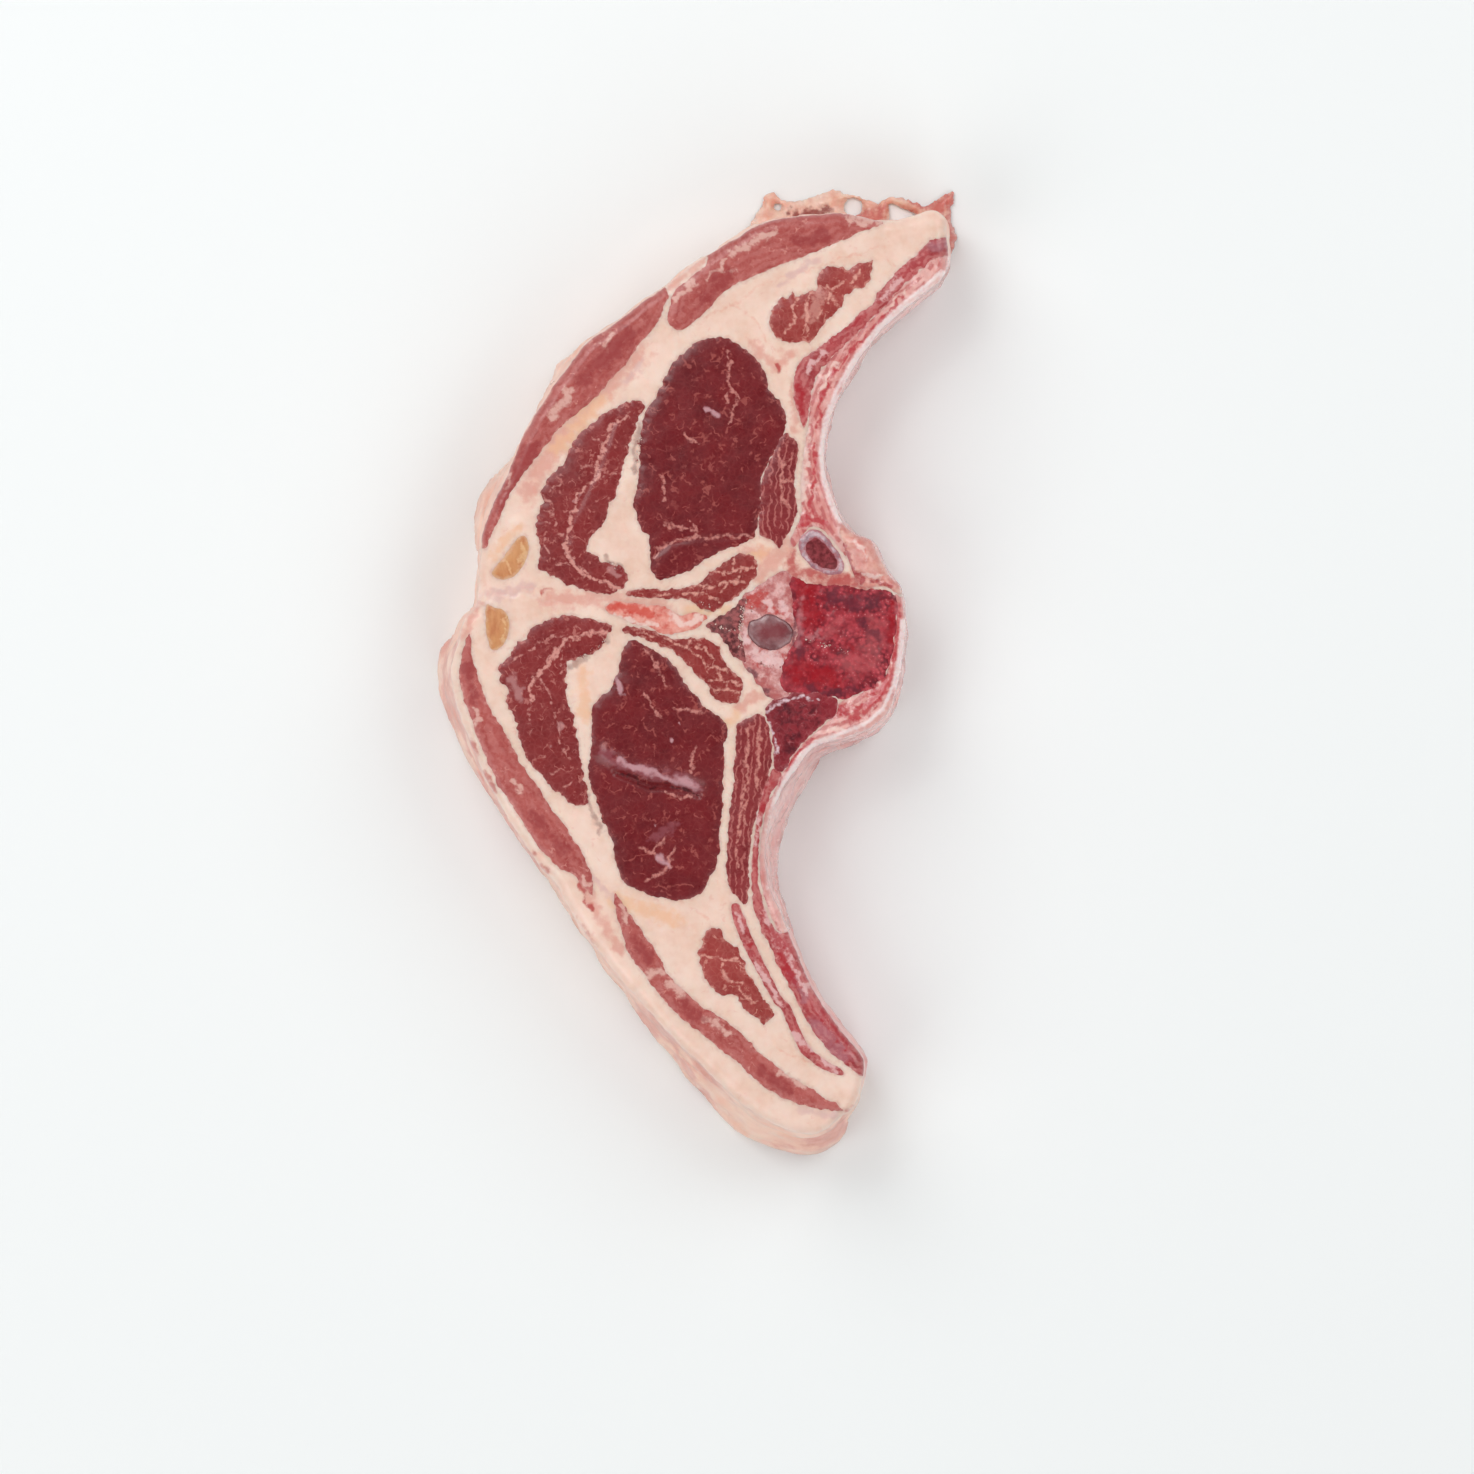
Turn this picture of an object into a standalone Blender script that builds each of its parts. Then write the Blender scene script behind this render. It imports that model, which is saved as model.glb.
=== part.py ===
"""Raw double lamb rib chop: a slice across the whole saddle, with both loins, the backbone between them
and the start of both flanks. It lies on its lower cut face.

Every tissue that shows on the cut face runs through the slice, so each is a solid of its own: the lean
muscles, the backbone with its cord, the rib head, the gristle, the two tan neck ligaments, the lining of
the belly cavity, and the fat that holds them all.

Frame: +Z up, out of the upper cut face. +Y runs along the slice towards the left flank, -Y towards the
right flank, and +X from the back fat towards the belly cavity. The origin is the centre of the underside.
"""

import bmesh
import bpy
import numpy as np

MM = 0.001

# Driving dimensions, in millimetres.
THICKNESS = 20.0
LEAN_RISE = 0.4        # lean springs up a little above the fat once the slice is cut
CORD_SINK = 0.6        # the cord draws back into its canal
TISSUE_GAP = 0.3       # clear space between neighbouring solids
CHAMFER = 0.4          # softened upper edge of a muscle
FACET = 2.0            # length of one facet along an outline
RIM_FACET = 2.6
CUTTER_REACH = 3.0     # how far cutters run past the faces
CENTRE = (-0.48, 0.13)  # middle of the base outline, in the drawing's own coordinates

# Wall of the slice: (height as a share of the thickness, share of the flare, extra width in mm).
WALL = [
    (0.00, 1.00, -1.0),
    (0.06, 1.00, 0.0),
    (0.30, 0.50, 0.3),
    (0.60, 0.15, 0.4),
    (0.88, 0.00, 0.0),
    (0.97, 0.00, -0.35),
    (1.00, 0.00, -1.2),
]

# Outline of the upper cut face from the left flank's tip, round the back, to the right flank's tip and
# back along the belly cavity: (x, y, flare), where flare is how far the soft edge spreads at the base.
RIM = [
    (38.3, 74.9, 3.6), (31.0, 73.7, 4.2), (22.0, 74.5, 5.4), (12.0, 73.6, 4.8), (5.0, 70.7, 1.4),
    (-5.0, 63.6, 1.0), (-14.5, 56.7, 1.2), (-21.8, 49.4, 3.0), (-26.8, 41.4, 0.8), (-30.9, 33.4, 1.8),
    (-33.6, 27.5, 3.6), (-35.6, 20.0, 0.9), (-36.0, 13.0, 0.6), (-38.4, 8.0, 2.2), (-39.7, 2.0, 3.3),
    (-38.9, -5.0, 3.6), (-35.9, -13.5, 2.2), (-30.4, -24.0, 1.8), (-23.6, -34.5, 1.9),
    (-17.0, -43.5, 1.6), (-9.8, -52.0, 3.0), (-1.2, -60.8, 4.0), (7.8, -68.8, 5.4), (14.5, -72.9, 6.0),
    (19.6, -73.6, 5.6), (23.2, -70.7, 3.0), (26.0, -64.5, 0.9), (25.4, -60.5, 0.8),
    (19.6, -53.6, 1.2), (15.3, -45.0, 1.2), (11.7, -36.2, 2.0), (10.7, -29.0, 3.2),
    (11.9, -22.2, 4.0), (15.3, -15.2, 3.6), (20.6, -10.5, 2.4), (27.6, -7.6, 1.7),
    (31.3, -2.6, 0.9), (32.5, 5.0, 0.7), (32.6, 12.5, 0.5), (30.2, 17.4, 0.5), (27.8, 21.9, 0.5),
    (24.2, 23.6, 0.5), (21.5, 29.0, 0.6), (20.2, 36.0, 0.6), (21.6, 44.2, 0.6), (27.0, 53.1, 0.6),
    (34.8, 61.1, 1.0), (39.2, 65.8, 1.6), (39.9, 71.5, 2.2),
]

# Each tissue: its outline on the cut face, what it is made of, and whether it reaches the wall, in which
# case its outline runs out past the rim. Where two outlines overlap, the one listed first keeps the space.
TISSUES = {
    "spinal_cord": ("cord", False, [
        (15.0, 7.2), (13.9, 9.3), (11.3, 10.2), (8.6, 9.3), (7.6, 7.2), (8.7, 5.1), (11.3, 4.2),
        (14.0, 5.0),
    ]),
    "rib_head": ("rib_bone", False, [
        (15.7, 21.4), (17.0, 23.4), (18.8, 23.7), (21.0, 21.8), (23.0, 19.2), (22.9, 17.0),
        (20.4, 16.8), (17.6, 18.4),
    ]),
    "backbone": ("marrow", True, [
        (-15.2, 11.3), (-12.0, 12.0), (-7.0, 11.4), (-2.6, 10.5), (1.0, 9.2), (4.0, 9.8), (7.0, 12.1),
        (9.6, 14.6), (13.4, 16.9), (17.0, 16.0), (21.0, 14.6), (25.6, 13.9), (31.0, 14.6),
        (40.0, 15.0), (41.0, 6.0), (38.0, -2.0), (31.0, -1.3), (27.0, -2.4), (22.0, -3.8),
        (18.0, -2.6), (13.6, -3.2), (10.6, -1.6), (7.4, 1.8), (4.4, 4.6), (1.2, 7.4), (-3.0, 7.6),
        (-7.0, 8.5), (-11.6, 9.4), (-14.4, 10.2),
    ]),
    "gristle_knob": ("gristle", True, [
        (22.9, 23.2), (23.6, 20.4), (24.6, 17.2), (26.0, 13.0), (32.0, 13.0), (38.0, 17.0),
        (34.0, 26.0), (26.0, 28.0),
    ]),
    "ligament_left": ("ligament", False, [
        (-29.0, 22.6), (-27.7, 21.5), (-27.9, 18.6), (-29.4, 16.5), (-32.0, 16.2), (-33.6, 16.8),
        (-32.6, 18.6), (-31.0, 20.6),
    ]),
    "ligament_right": ("ligament", False, [
        (-34.4, 12.2), (-32.2, 11.2), (-31.0, 9.6), (-30.9, 7.4), (-32.2, 5.0), (-33.6, 4.4),
        (-34.3, 6.6), (-34.6, 9.4),
    ]),
    "eye_muscle_left": ("lean_dark", False, [
        (2.5, 54.8), (8.0, 52.6), (11.2, 47.0), (13.9, 42.8), (13.4, 39.3), (10.2, 33.5), (9.9, 28.0),
        (8.6, 22.7), (3.5, 20.1), (-1.5, 17.2), (-5.8, 15.8), (-7.6, 17.6), (-8.0, 21.6),
        (-10.2, 25.0), (-10.8, 29.5), (-9.6, 34.5), (-9.9, 39.8), (-7.0, 46.0), (-4.4, 50.6),
    ]),
    "eye_muscle_right": ("lean_dark", False, [
        (-10.6, 5.7), (-7.4, 4.5), (-4.0, 1.6), (-0.6, -3.3), (3.4, -6.6), (4.6, -8.2), (3.6, -12.0),
        (3.8, -17.0), (3.3, -24.0), (3.0, -29.5), (0.5, -33.6), (-2.0, -35.7), (-6.5, -35.7),
        (-11.0, -34.0), (-13.3, -30.0), (-15.0, -24.0), (-17.8, -18.6), (-17.6, -11.0),
        (-17.4, -4.6), (-14.5, -1.4), (-12.6, 3.0),
    ]),
    "cap_muscle_left": ("lean_dark", False, [
        (-10.1, 44.5), (-10.9, 39.5), (-12.4, 33.5), (-14.3, 28.0), (-16.2, 24.0), (-18.4, 20.6),
        (-15.8, 19.0), (-12.7, 17.5), (-12.2, 15.6), (-13.4, 13.5), (-17.5, 13.3), (-22.5, 14.8),
        (-26.0, 17.2), (-26.4, 22.5), (-26.6, 25.0), (-25.6, 29.5), (-23.4, 33.4), (-20.9, 38.4),
        (-17.0, 42.3), (-13.0, 44.2),
    ]),
    "cap_muscle_right": ("lean_dark", False, [
        (-22.0, 9.9), (-17.5, 9.2), (-14.6, 8.3), (-15.8, 5.6), (-18.6, 3.6), (-21.2, 1.8),
        (-21.7, -2.4), (-20.3, -8.0), (-19.4, -14.0), (-18.9, -19.3), (-20.4, -20.4),
        (-24.0, -17.8), (-28.0, -13.0), (-29.8, -7.6), (-31.6, -3.4), (-32.3, 1.6), (-30.0, 4.8),
        (-26.6, 8.3),
    ]),
    "spine_muscle_left": ("lean_light", False, [
        (-11.6, 13.6), (-7.0, 14.1), (-1.6, 13.8), (1.2, 16.0), (4.0, 18.6), (7.2, 19.5),
        (8.7, 17.8), (7.4, 14.2), (4.4, 11.5), (1.4, 10.9), (-1.2, 12.3), (-7.0, 12.8),
    ]),
    "spine_muscle_right": ("lean_light", False, [
        (-12.6, 8.1), (-8.5, 7.5), (-4.0, 6.4), (0.4, 5.8), (3.1, 3.7), (5.0, 1.1), (6.7, -1.4),
        (5.4, -4.0), (2.2, -3.2), (0.4, -0.4), (-2.2, 2.7), (-5.2, 5.1), (-8.8, 6.5),
    ]),
    "rib_muscle_left": ("lean_light", False, [
        (14.0, 39.4), (15.8, 37.0), (15.2, 32.0), (15.6, 27.5), (14.0, 23.2), (12.4, 20.7),
        (10.6, 23.3), (9.2, 27.0), (9.2, 33.0), (11.6, 37.8),
    ]),
    "rib_muscle_right": ("lean_light", False, [
        (6.4, -8.0), (9.8, -7.0), (10.9, -10.0), (11.6, -14.2), (10.4, -18.4), (9.4, -23.0),
        (8.2, -28.0), (8.1, -34.0), (7.5, -36.4), (5.2, -34.9), (4.6, -31.5), (4.9, -24.0),
        (5.3, -17.0), (5.4, -11.5),
    ]),
    "inner_muscle_right": ("lean_dark", False, [
        (11.4, -6.4), (13.0, -3.4), (18.0, -1.6), (22.6, -3.0), (21.0, -6.4), (17.4, -9.8),
        (14.4, -13.2), (13.0, -12.2), (12.1, -9.4),
    ]),
    "belly_muscle_left": ("lean_light", False, [
        (11.2, 56.5), (13.0, 54.1), (17.4, 53.7), (19.4, 56.4), (22.6, 60.2), (24.2, 62.3),
        (26.8, 63.0), (27.9, 67.3), (25.3, 66.5), (22.0, 66.2), (19.6, 65.0), (18.4, 62.6),
        (15.8, 61.6), (14.6, 62.2), (12.6, 60.8),
    ]),
    "belly_muscle_right": ("lean_light", False, [
        (1.0, -41.3), (2.4, -40.4), (3.9, -42.2), (6.3, -44.1), (7.3, -46.6), (8.4, -49.2),
        (10.2, -51.8), (12.0, -54.3), (10.6, -56.1), (8.0, -54.4), (6.2, -52.6), (4.6, -51.3),
        (2.2, -50.2), (0.6, -47.8), (-0.2, -44.8), (0.6, -42.8),
    ]),
    "back_band_left": ("lean_light", True, [
        (-6.0, 62.0), (-6.4, 59.0), (-9.0, 54.6), (-14.0, 48.7), (-19.5, 43.8), (-25.0, 38.0),
        (-28.4, 32.2), (-31.2, 26.5), (-34.0, 21.6), (-40.0, 19.4), (-45.0, 24.0), (-41.0, 37.0),
        (-33.0, 52.0), (-20.0, 63.0), (-9.0, 68.0),
    ]),
    "flank_band_left": ("lean_light", True, [
        (30.0, 73.2), (22.0, 70.4), (13.0, 66.3), (5.0, 62.3), (-0.5, 57.7), (-4.0, 56.0),
        (-4.6, 60.2), (-1.4, 64.0), (1.3, 67.2), (2.6, 70.4), (1.5, 79.0), (12.0, 85.0),
        (24.0, 87.0), (32.0, 84.0), (33.0, 76.0),
    ]),
    "back_band_right": ("lean_light", False, [
        (-37.7, 7.4), (-36.9, 3.0), (-35.4, -1.6), (-32.4, -7.7), (-29.6, -13.0), (-26.4, -17.8),
        (-22.4, -23.2), (-18.6, -29.0), (-17.3, -34.6), (-19.6, -33.6), (-23.8, -30.2),
        (-27.8, -24.6), (-32.0, -18.0), (-35.0, -11.5), (-37.6, -5.0), (-38.5, 1.0), (-38.3, 5.0),
    ]),
    "flank_band_right": ("lean_light", False, [
        (-14.0, -34.6), (-11.0, -38.7), (-7.4, -44.0), (-5.0, -48.6), (0.0, -53.0), (5.0, -55.9),
        (9.6, -60.4), (14.5, -64.2), (19.5, -67.3), (22.0, -69.6), (19.6, -69.7), (15.0, -68.8),
        (10.0, -66.2), (4.4, -61.2), (-1.0, -56.8), (-5.6, -52.4), (-9.4, -47.8), (-12.0, -43.0),
        (-13.3, -38.0),
    ]),
    "inner_band_left": ("lean_light", True, [
        (45.0, 73.4), (38.6, 71.0), (35.2, 68.4), (31.2, 65.0), (28.4, 61.2), (26.2, 58.4),
        (20.6, 54.2), (15.4, 49.9), (15.2, 45.0), (16.7, 40.2), (17.8, 43.8), (20.0, 49.8),
        (24.6, 54.4), (29.8, 59.4), (33.6, 63.8), (36.2, 66.8), (39.0, 67.9), (45.0, 67.4),
    ]),
    "inner_strip_right": ("lean_light", False, [
        (5.4, -37.4), (7.4, -38.0), (9.2, -42.2), (11.0, -47.4), (13.6, -52.6), (12.4, -52.4),
        (9.6, -47.6), (6.6, -40.6),
    ]),
    "inner_band_right": ("lean_light", True, [
        (12.9, -14.4), (12.9, -17.6), (11.0, -22.4), (10.0, -28.0), (10.2, -33.5), (12.6, -38.0),
        (20.0, -41.5), (24.0, -50.0), (30.0, -57.0), (35.0, -63.5), (26.0, -64.2), (21.0, -63.1),
        (16.9, -58.4), (15.0, -54.0), (12.6, -47.2), (10.0, -40.0), (8.6, -37.4), (7.6, -34.0),
        (7.6, -28.0), (9.2, -20.6),
    ]),
    "lining_left": ("lining", True, [
        (39.6, 68.6), (36.0, 67.2), (30.6, 61.0), (24.8, 55.0), (19.6, 49.4), (18.4, 43.0),
        (17.8, 37.0), (17.2, 31.0), (16.6, 26.2), (18.6, 25.1), (22.0, 24.6), (23.6, 22.0),
        (33.0, 26.0), (27.0, 36.0), (29.0, 44.0), (36.0, 53.0), (44.0, 60.0), (48.0, 67.0),
    ]),
    "lining_right": ("lining", True, [
        (34.0, 2.0), (25.4, -2.0), (21.4, -4.4), (18.6, -7.6), (15.4, -11.4), (13.4, -14.4),
        (11.4, -20.0), (9.8, -27.0), (9.8, -33.0), (12.0, -38.6), (18.0, -40.0), (19.0, -28.0),
        (22.0, -20.0), (28.0, -16.0), (36.0, -11.0), (40.0, -3.0), (38.0, 2.0),
    ]),
}

# Colour, roughness of each tissue. Nothing here is metallic.
FINISHES = {
    "fat": ((0.80, 0.60, 0.47), 0.40),
    "lean_dark": ((0.20, 0.025, 0.030), 0.32),
    "lean_light": ((0.34, 0.055, 0.055), 0.34),
    "marrow": ((0.33, 0.030, 0.040), 0.38),
    "rib_bone": ((0.45, 0.40, 0.40), 0.30),
    "gristle": ((0.66, 0.30, 0.24), 0.35),
    "lining": ((0.55, 0.16, 0.15), 0.28),
    "ligament": ((0.58, 0.28, 0.10), 0.38),
    "cord": ((0.26, 0.17, 0.18), 0.25),
}


def clear_scene():
    for obj in list(bpy.data.objects):
        bpy.data.objects.remove(obj, do_unlink=True)


def smooth_loop(points, facet):
    """A closed Catmull-Rom curve through the points, cut into facets of about this length. Any columns
    after x and y are carried along."""
    points = np.array(points, float)
    before, after = np.roll(points, 1, 0), np.roll(points, -1, 0)
    beyond = np.roll(points, -2, 0)
    fine = []
    for t in np.arange(0, 1, 1 / 16):
        fine.append(0.5 * (
            2 * points
            + (after - before) * t
            + (2 * before - 5 * points + 4 * after - beyond) * t ** 2
            + (3 * points - before - 3 * after + beyond) * t ** 3
        ))
    fine = np.stack(fine, 1).reshape(-1, points.shape[1])
    fine = np.vstack([fine, fine[:1]])
    along = np.concatenate([[0], np.cumsum(np.hypot(*np.diff(fine[:, :2], axis=0).T))])
    stations = np.linspace(0, along[-1], round(along[-1] / facet) + 1)[:-1]
    loop = np.stack([np.interp(stations, along, column) for column in fine.T], 1)
    loop[:, :2] -= CENTRE
    x, y = loop[:, 0], loop[:, 1]
    runs_clockwise = (x * np.roll(y, -1) - y * np.roll(x, -1)).sum() < 0
    return loop[::-1] if runs_clockwise else loop


def outward(loop):
    """The unit normal at each point of a counter-clockwise loop."""
    along = np.roll(loop[:, :2], -1, 0) - np.roll(loop[:, :2], 1, 0)
    normal = np.stack([along[:, 1], -along[:, 0]], 1)
    return normal / np.hypot(*normal.T)[:, None]


def loft(name, rings):
    """A closed solid through rings of points, each given as (plan loop, height) in mm, bottom first."""
    mesh = bpy.data.meshes.new(name)
    bm = bmesh.new()
    layers = [[bm.verts.new((x * MM, y * MM, z * MM)) for x, y in loop] for loop, z in rings]
    count = len(layers[0])
    for low, high in zip(layers, layers[1:]):
        for i in range(count):
            j = (i + 1) % count
            bm.faces.new((low[i], low[j], high[j], high[i]))
    bm.faces.new(layers[0][::-1])
    bm.faces.new(layers[-1])
    bm.to_mesh(mesh)
    bm.free()
    obj = bpy.data.objects.new(name, mesh)
    bpy.context.scene.collection.objects.link(obj)
    return obj


def guide(obj):
    """A helper that shapes other solids and isn't one itself."""
    obj.hide_render = True
    obj.display_type = "WIRE"
    return obj


def slice_body(name, rise=0.0):
    """The whole slice inside its wall, with its top lifted by rise."""
    rim = smooth_loop(RIM, RIM_FACET)
    plan, flare, normal = rim[:, :2], rim[:, 2:], outward(rim)
    rings = []
    for height, share, extra in WALL:
        lift = rise if height == 1.0 else 0.0
        rings.append((plan + normal * (flare * share + extra), THICKNESS * height + lift))
    return loft(name, rings)


def tissue_body(name, outline):
    """A muscle or bone that doesn't reach the wall: straight through the slice, its upper edge softened."""
    loop = smooth_loop(outline, FACET)
    normal = outward(loop)
    rise = -CORD_SINK if name == "spinal_cord" else LEAN_RISE
    return loft(name, [
        (loop, 0.0),
        (loop, THICKNESS + rise - CHAMFER),
        (loop - normal * CHAMFER, THICKNESS + rise),
    ])


def column(name, outline, grow):
    """A straight column over an outline, wider by grow, that runs past both cut faces."""
    loop = smooth_loop(outline, FACET)
    loop = loop + outward(loop) * grow
    return loft(name, [(loop, -CUTTER_REACH), (loop, THICKNESS + CUTTER_REACH)])


def combine(obj, operation, other):
    modifier = obj.modifiers.new(operation.title() + "_" + other.name, "BOOLEAN")
    modifier.operation = operation
    modifier.object = other
    modifier.solver = "EXACT"


def finish(obj, tissue):
    material = bpy.data.materials.get(tissue)
    if material is None:
        colour, roughness = FINISHES[tissue]
        material = bpy.data.materials.new(tissue)
        material.use_nodes = True
        surface = material.node_tree.nodes["Principled BSDF"]
        surface.inputs["Base Color"].default_value = (*colour, 1.0)
        surface.inputs["Roughness"].default_value = roughness
        surface.inputs["Metallic"].default_value = 0.0
    obj.data.materials.clear()
    obj.data.materials.append(material)


def near(loop, other):
    """Whether the boxes round two outlines come closer than the gap between solids."""
    clear = np.maximum(loop.min(0) - other.max(0), other.min(0) - loop.max(0))
    return clear.max() < TISSUE_GAP


clear_scene()
lean_slice = guide(slice_body("lean_slice", rise=LEAN_RISE))
fat = slice_body("fat_body")
finish(fat, "fat")

claimed = []
for name, (tissue, reaches_wall, outline) in TISSUES.items():
    loop = smooth_loop(outline, FACET)
    if reaches_wall:
        body = column(name, outline, 0.0)
        combine(body, "INTERSECT", lean_slice)
    else:
        body = tissue_body(name, outline)
    for other_loop, other_cutter in claimed:
        if near(loop, other_loop):
            combine(body, "DIFFERENCE", other_cutter)
    finish(body, tissue)
    cutter = guide(column(name + "_cutter", outline, TISSUE_GAP))
    combine(fat, "DIFFERENCE", cutter)
    claimed.append((loop, cutter))
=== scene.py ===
"""Raw double lamb rib chop: a slice cut across the whole saddle, with both loins, the backbone between
them and the start of both flanks, lying wet on its lower cut face.

The chop is made as it is cut. First comes the slice as a whole, then each tissue claims its part of the
slice from the middle outwards, and the fat takes what is left.
"""

import bpy
import numpy as np
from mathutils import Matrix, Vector, geometry, kdtree, noise


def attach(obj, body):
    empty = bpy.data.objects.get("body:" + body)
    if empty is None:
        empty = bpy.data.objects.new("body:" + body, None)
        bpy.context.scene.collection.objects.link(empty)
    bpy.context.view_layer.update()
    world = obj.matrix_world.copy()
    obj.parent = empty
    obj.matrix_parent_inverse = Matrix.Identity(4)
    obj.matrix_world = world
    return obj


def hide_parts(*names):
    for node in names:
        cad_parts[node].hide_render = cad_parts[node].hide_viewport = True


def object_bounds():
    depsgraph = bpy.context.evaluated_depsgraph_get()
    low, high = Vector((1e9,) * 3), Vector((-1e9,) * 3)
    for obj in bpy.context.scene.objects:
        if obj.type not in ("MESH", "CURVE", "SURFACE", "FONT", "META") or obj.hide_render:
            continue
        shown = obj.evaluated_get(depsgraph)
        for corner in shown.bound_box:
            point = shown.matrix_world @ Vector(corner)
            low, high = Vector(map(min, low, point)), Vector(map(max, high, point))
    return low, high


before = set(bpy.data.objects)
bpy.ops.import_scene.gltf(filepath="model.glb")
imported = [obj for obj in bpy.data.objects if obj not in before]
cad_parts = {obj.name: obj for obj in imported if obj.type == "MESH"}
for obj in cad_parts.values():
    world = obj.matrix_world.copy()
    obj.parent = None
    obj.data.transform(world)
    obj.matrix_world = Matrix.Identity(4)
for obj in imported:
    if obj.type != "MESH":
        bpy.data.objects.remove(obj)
cad_box = [list(corner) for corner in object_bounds()]


# ----------------------------------------------------------
# The slice
#
# One slice across the back, a finger thick. Its upper face is the clean cut. The saw and the knife leave
# the rim crisp at the top, and the soft fat below it slumps outwards where it isn't held.
# Shapes are drawn in mm on the cut face: +x to the belly cavity, +y to the left flank.

MM = 0.001
DRAWING_MIDDLE = (-0.48, 0.13)
LEAN_RISE = 0.4
THICKNESS = (cad_box[1][2] - cad_box[0][2]) / MM - LEAN_RISE
MESH_STEP = 0.32
LOOP_STEP = 0.30

# The rim is rounded over: the cut face meets the rounding at the first angle, the wall at the last.
RIM_ROUND = 1.9
RIM_CUT_ANGLE = np.radians(48)
RIM_ANGLES = np.radians([62, 76, 90])
RIM_INSET = 0.35
RIM_FRAY = (0.18, 2.4, 3)

# Waves in the cut face: (height, length, seed).
FACE_WAVES = ((0.30, 26, 1), (0.10, 7, 2), (0.035, 2.2, 4))

# How far from its border a tissue swells up to its crown, and how far its relief starts.
CROWN_REACH = 1.1
RELIEF_REACH = 0.5
TOUCHING = 1e-4

RIM = [
    (-36.8, 10.5), (-35.8, 12), (-35.5, 16), (-35.2, 20), (-34.7, 24), (-33.2, 28), (-31.2, 32),
    (-28.8, 38), (-26, 43), (-22, 49), (-18, 54), (-14, 56.7), (-10, 59.8), (-6, 62.6), (-2, 65.8),
    (2, 68.4), (6, 70.9), (10, 73.1), (14, 74), (18, 74.4), (22.5, 74.7), (28, 73.8), (31, 73.6),
    (34, 74.2), (36.5, 75), (38.4, 75), (39.6, 73.6), (39.7, 71), (39.8, 67), (38.9, 64.4), (37, 62.8),
    (33, 59.6), (29, 55.9), (25.5, 51.3), (22.8, 46.5), (20.6, 41), (19.9, 36), (20.3, 32), (21.5, 28),
    (23, 24.8), (24.8, 22.9), (27.6, 21.8), (28.8, 19.2), (30.4, 16.4), (32.3, 14.3), (33, 9), (32.6, 4),
    (31.9, -0.5), (30.8, -4.5), (29.6, -6.4), (27, -8.3), (23, -9.8), (19.4, -10.7), (17, -12.5),
    (14.5, -16), (12.3, -20), (10.9, -24), (10.4, -29), (11, -34), (12.8, -38), (14.8, -43), (16.9, -48),
    (19, -52), (21.8, -56), (24.8, -59.8), (26.3, -62), (26.1, -65), (24.8, -69), (22.6, -71),
    (19.8, -73.2), (17, -73.7), (13, -72.4), (8, -69.7), (3.5, -65.7), (-2.5, -59.8), (-7.3, -54.8),
    (-12.8, -48.5), (-17.5, -42.5), (-21.2, -36.8), (-23, -33.4), (-26, -30), (-30, -24), (-33.6, -18),
    (-36.3, -12), (-38.7, -6), (-39.8, -2), (-40, 2), (-38.8, 6), (-38, 9),
]

# How far the soft edge spreads at the bottom, at places round the rim: (x, y, spread).
SPREAD = [
    (-36, 14, 0.4), (-35.2, 20, 0.8), (-34.5, 24.5, 3.0), (-33.4, 28, 3.6), (-31.8, 31.5, 3.0),
    (-29.6, 36, 0.7), (-26, 43, 0.5), (-23.6, 47, 1.6), (-21.5, 50, 2.6), (-18.5, 53.5, 1.0),
    (-12, 58, 0.5), (-4, 64.3, 0.5), (4, 69.8, 0.4), (10, 73.1, 0.3), (16, 74.2, 0.2), (24, 74.3, 0.2),
    (32, 73.6, 0.2), (38.4, 75, 0.2), (40, 71, 0.4), (38.9, 64.4, 0.5), (30, 57, 0.4), (22, 45, 0.3),
    (20.5, 32, 0.3), (24.5, 23, 0.3), (29, 19, 0.3), (33, 10, 0.3), (32, 0, 0.4), (30, -6, 1.1),
    (25, -9.3, 1.6), (19.4, -10.7, 2.6), (14.5, -16, 3.4), (11.4, -22.5, 3.4), (10.4, -29, 2.7),
    (11.5, -35.5, 1.6), (14.8, -43, 0.5), (21, -55, 0.5), (26, -64, 0.4), (24, -70, 1.4), (20.5, -73, 3.8),
    (16, -73.5, 4.8), (10, -71, 5.2), (3, -65.4, 4.4), (-5, -57.3, 3.2), (-12, -49.5, 1.8),
    (-18, -42, 1.0), (-22, -35.5, 1.4), (-27, -28.7, 0.9), (-31.5, -21.5, 1.0), (-35.5, -14, 1.8),
    (-38.3, -7, 2.6), (-39.9, -1, 3.2), (-39.8, 4, 3.0), (-38.3, 8.3, 1.4),
]

# The rim's wall, from its upper edge down: (share of the height, share of the spread, outward bulge).
WALL = [
    (0.88, 0.01, 0.50), (0.76, 0.05, 0.68), (0.67, 0.11, 0.75), (0.57, 0.20, 0.78), (0.47, 0.33, 0.76),
    (0.37, 0.50, 0.70), (0.28, 0.66, 0.62), (0.19, 0.82, 0.50), (0.11, 0.94, 0.30), (0.045, 1.00, -0.10),
    (0.012, 1.00, -0.50),
]
WALL_STEPS = 22
WALL_FOOT_BULGE = -0.9

# One long crease wanders round the wall, which bulges just above it: sizes in mm, place as a share of the
# height.
CREASE_PLACE = 0.52
CREASE_SWING = 0.3
CREASE_WIDTH = 1.3
CREASE_DEPTH = 1.1
CREASE_BULGE = 0.6

# The rim's stretch along the belly cavity, where the wall is lining and not outer fat.
CAVITY = [
    (41, 66), (37, 62.8), (29, 55.9), (22.8, 46.5), (19.9, 36), (23, 24.8), (31, 17), (33, 6),
    (29.6, -6.4), (19.4, -10.7), (12.3, -20), (11, -34), (14.8, -43), (21.8, -56), (26.4, -62),
]


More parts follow.
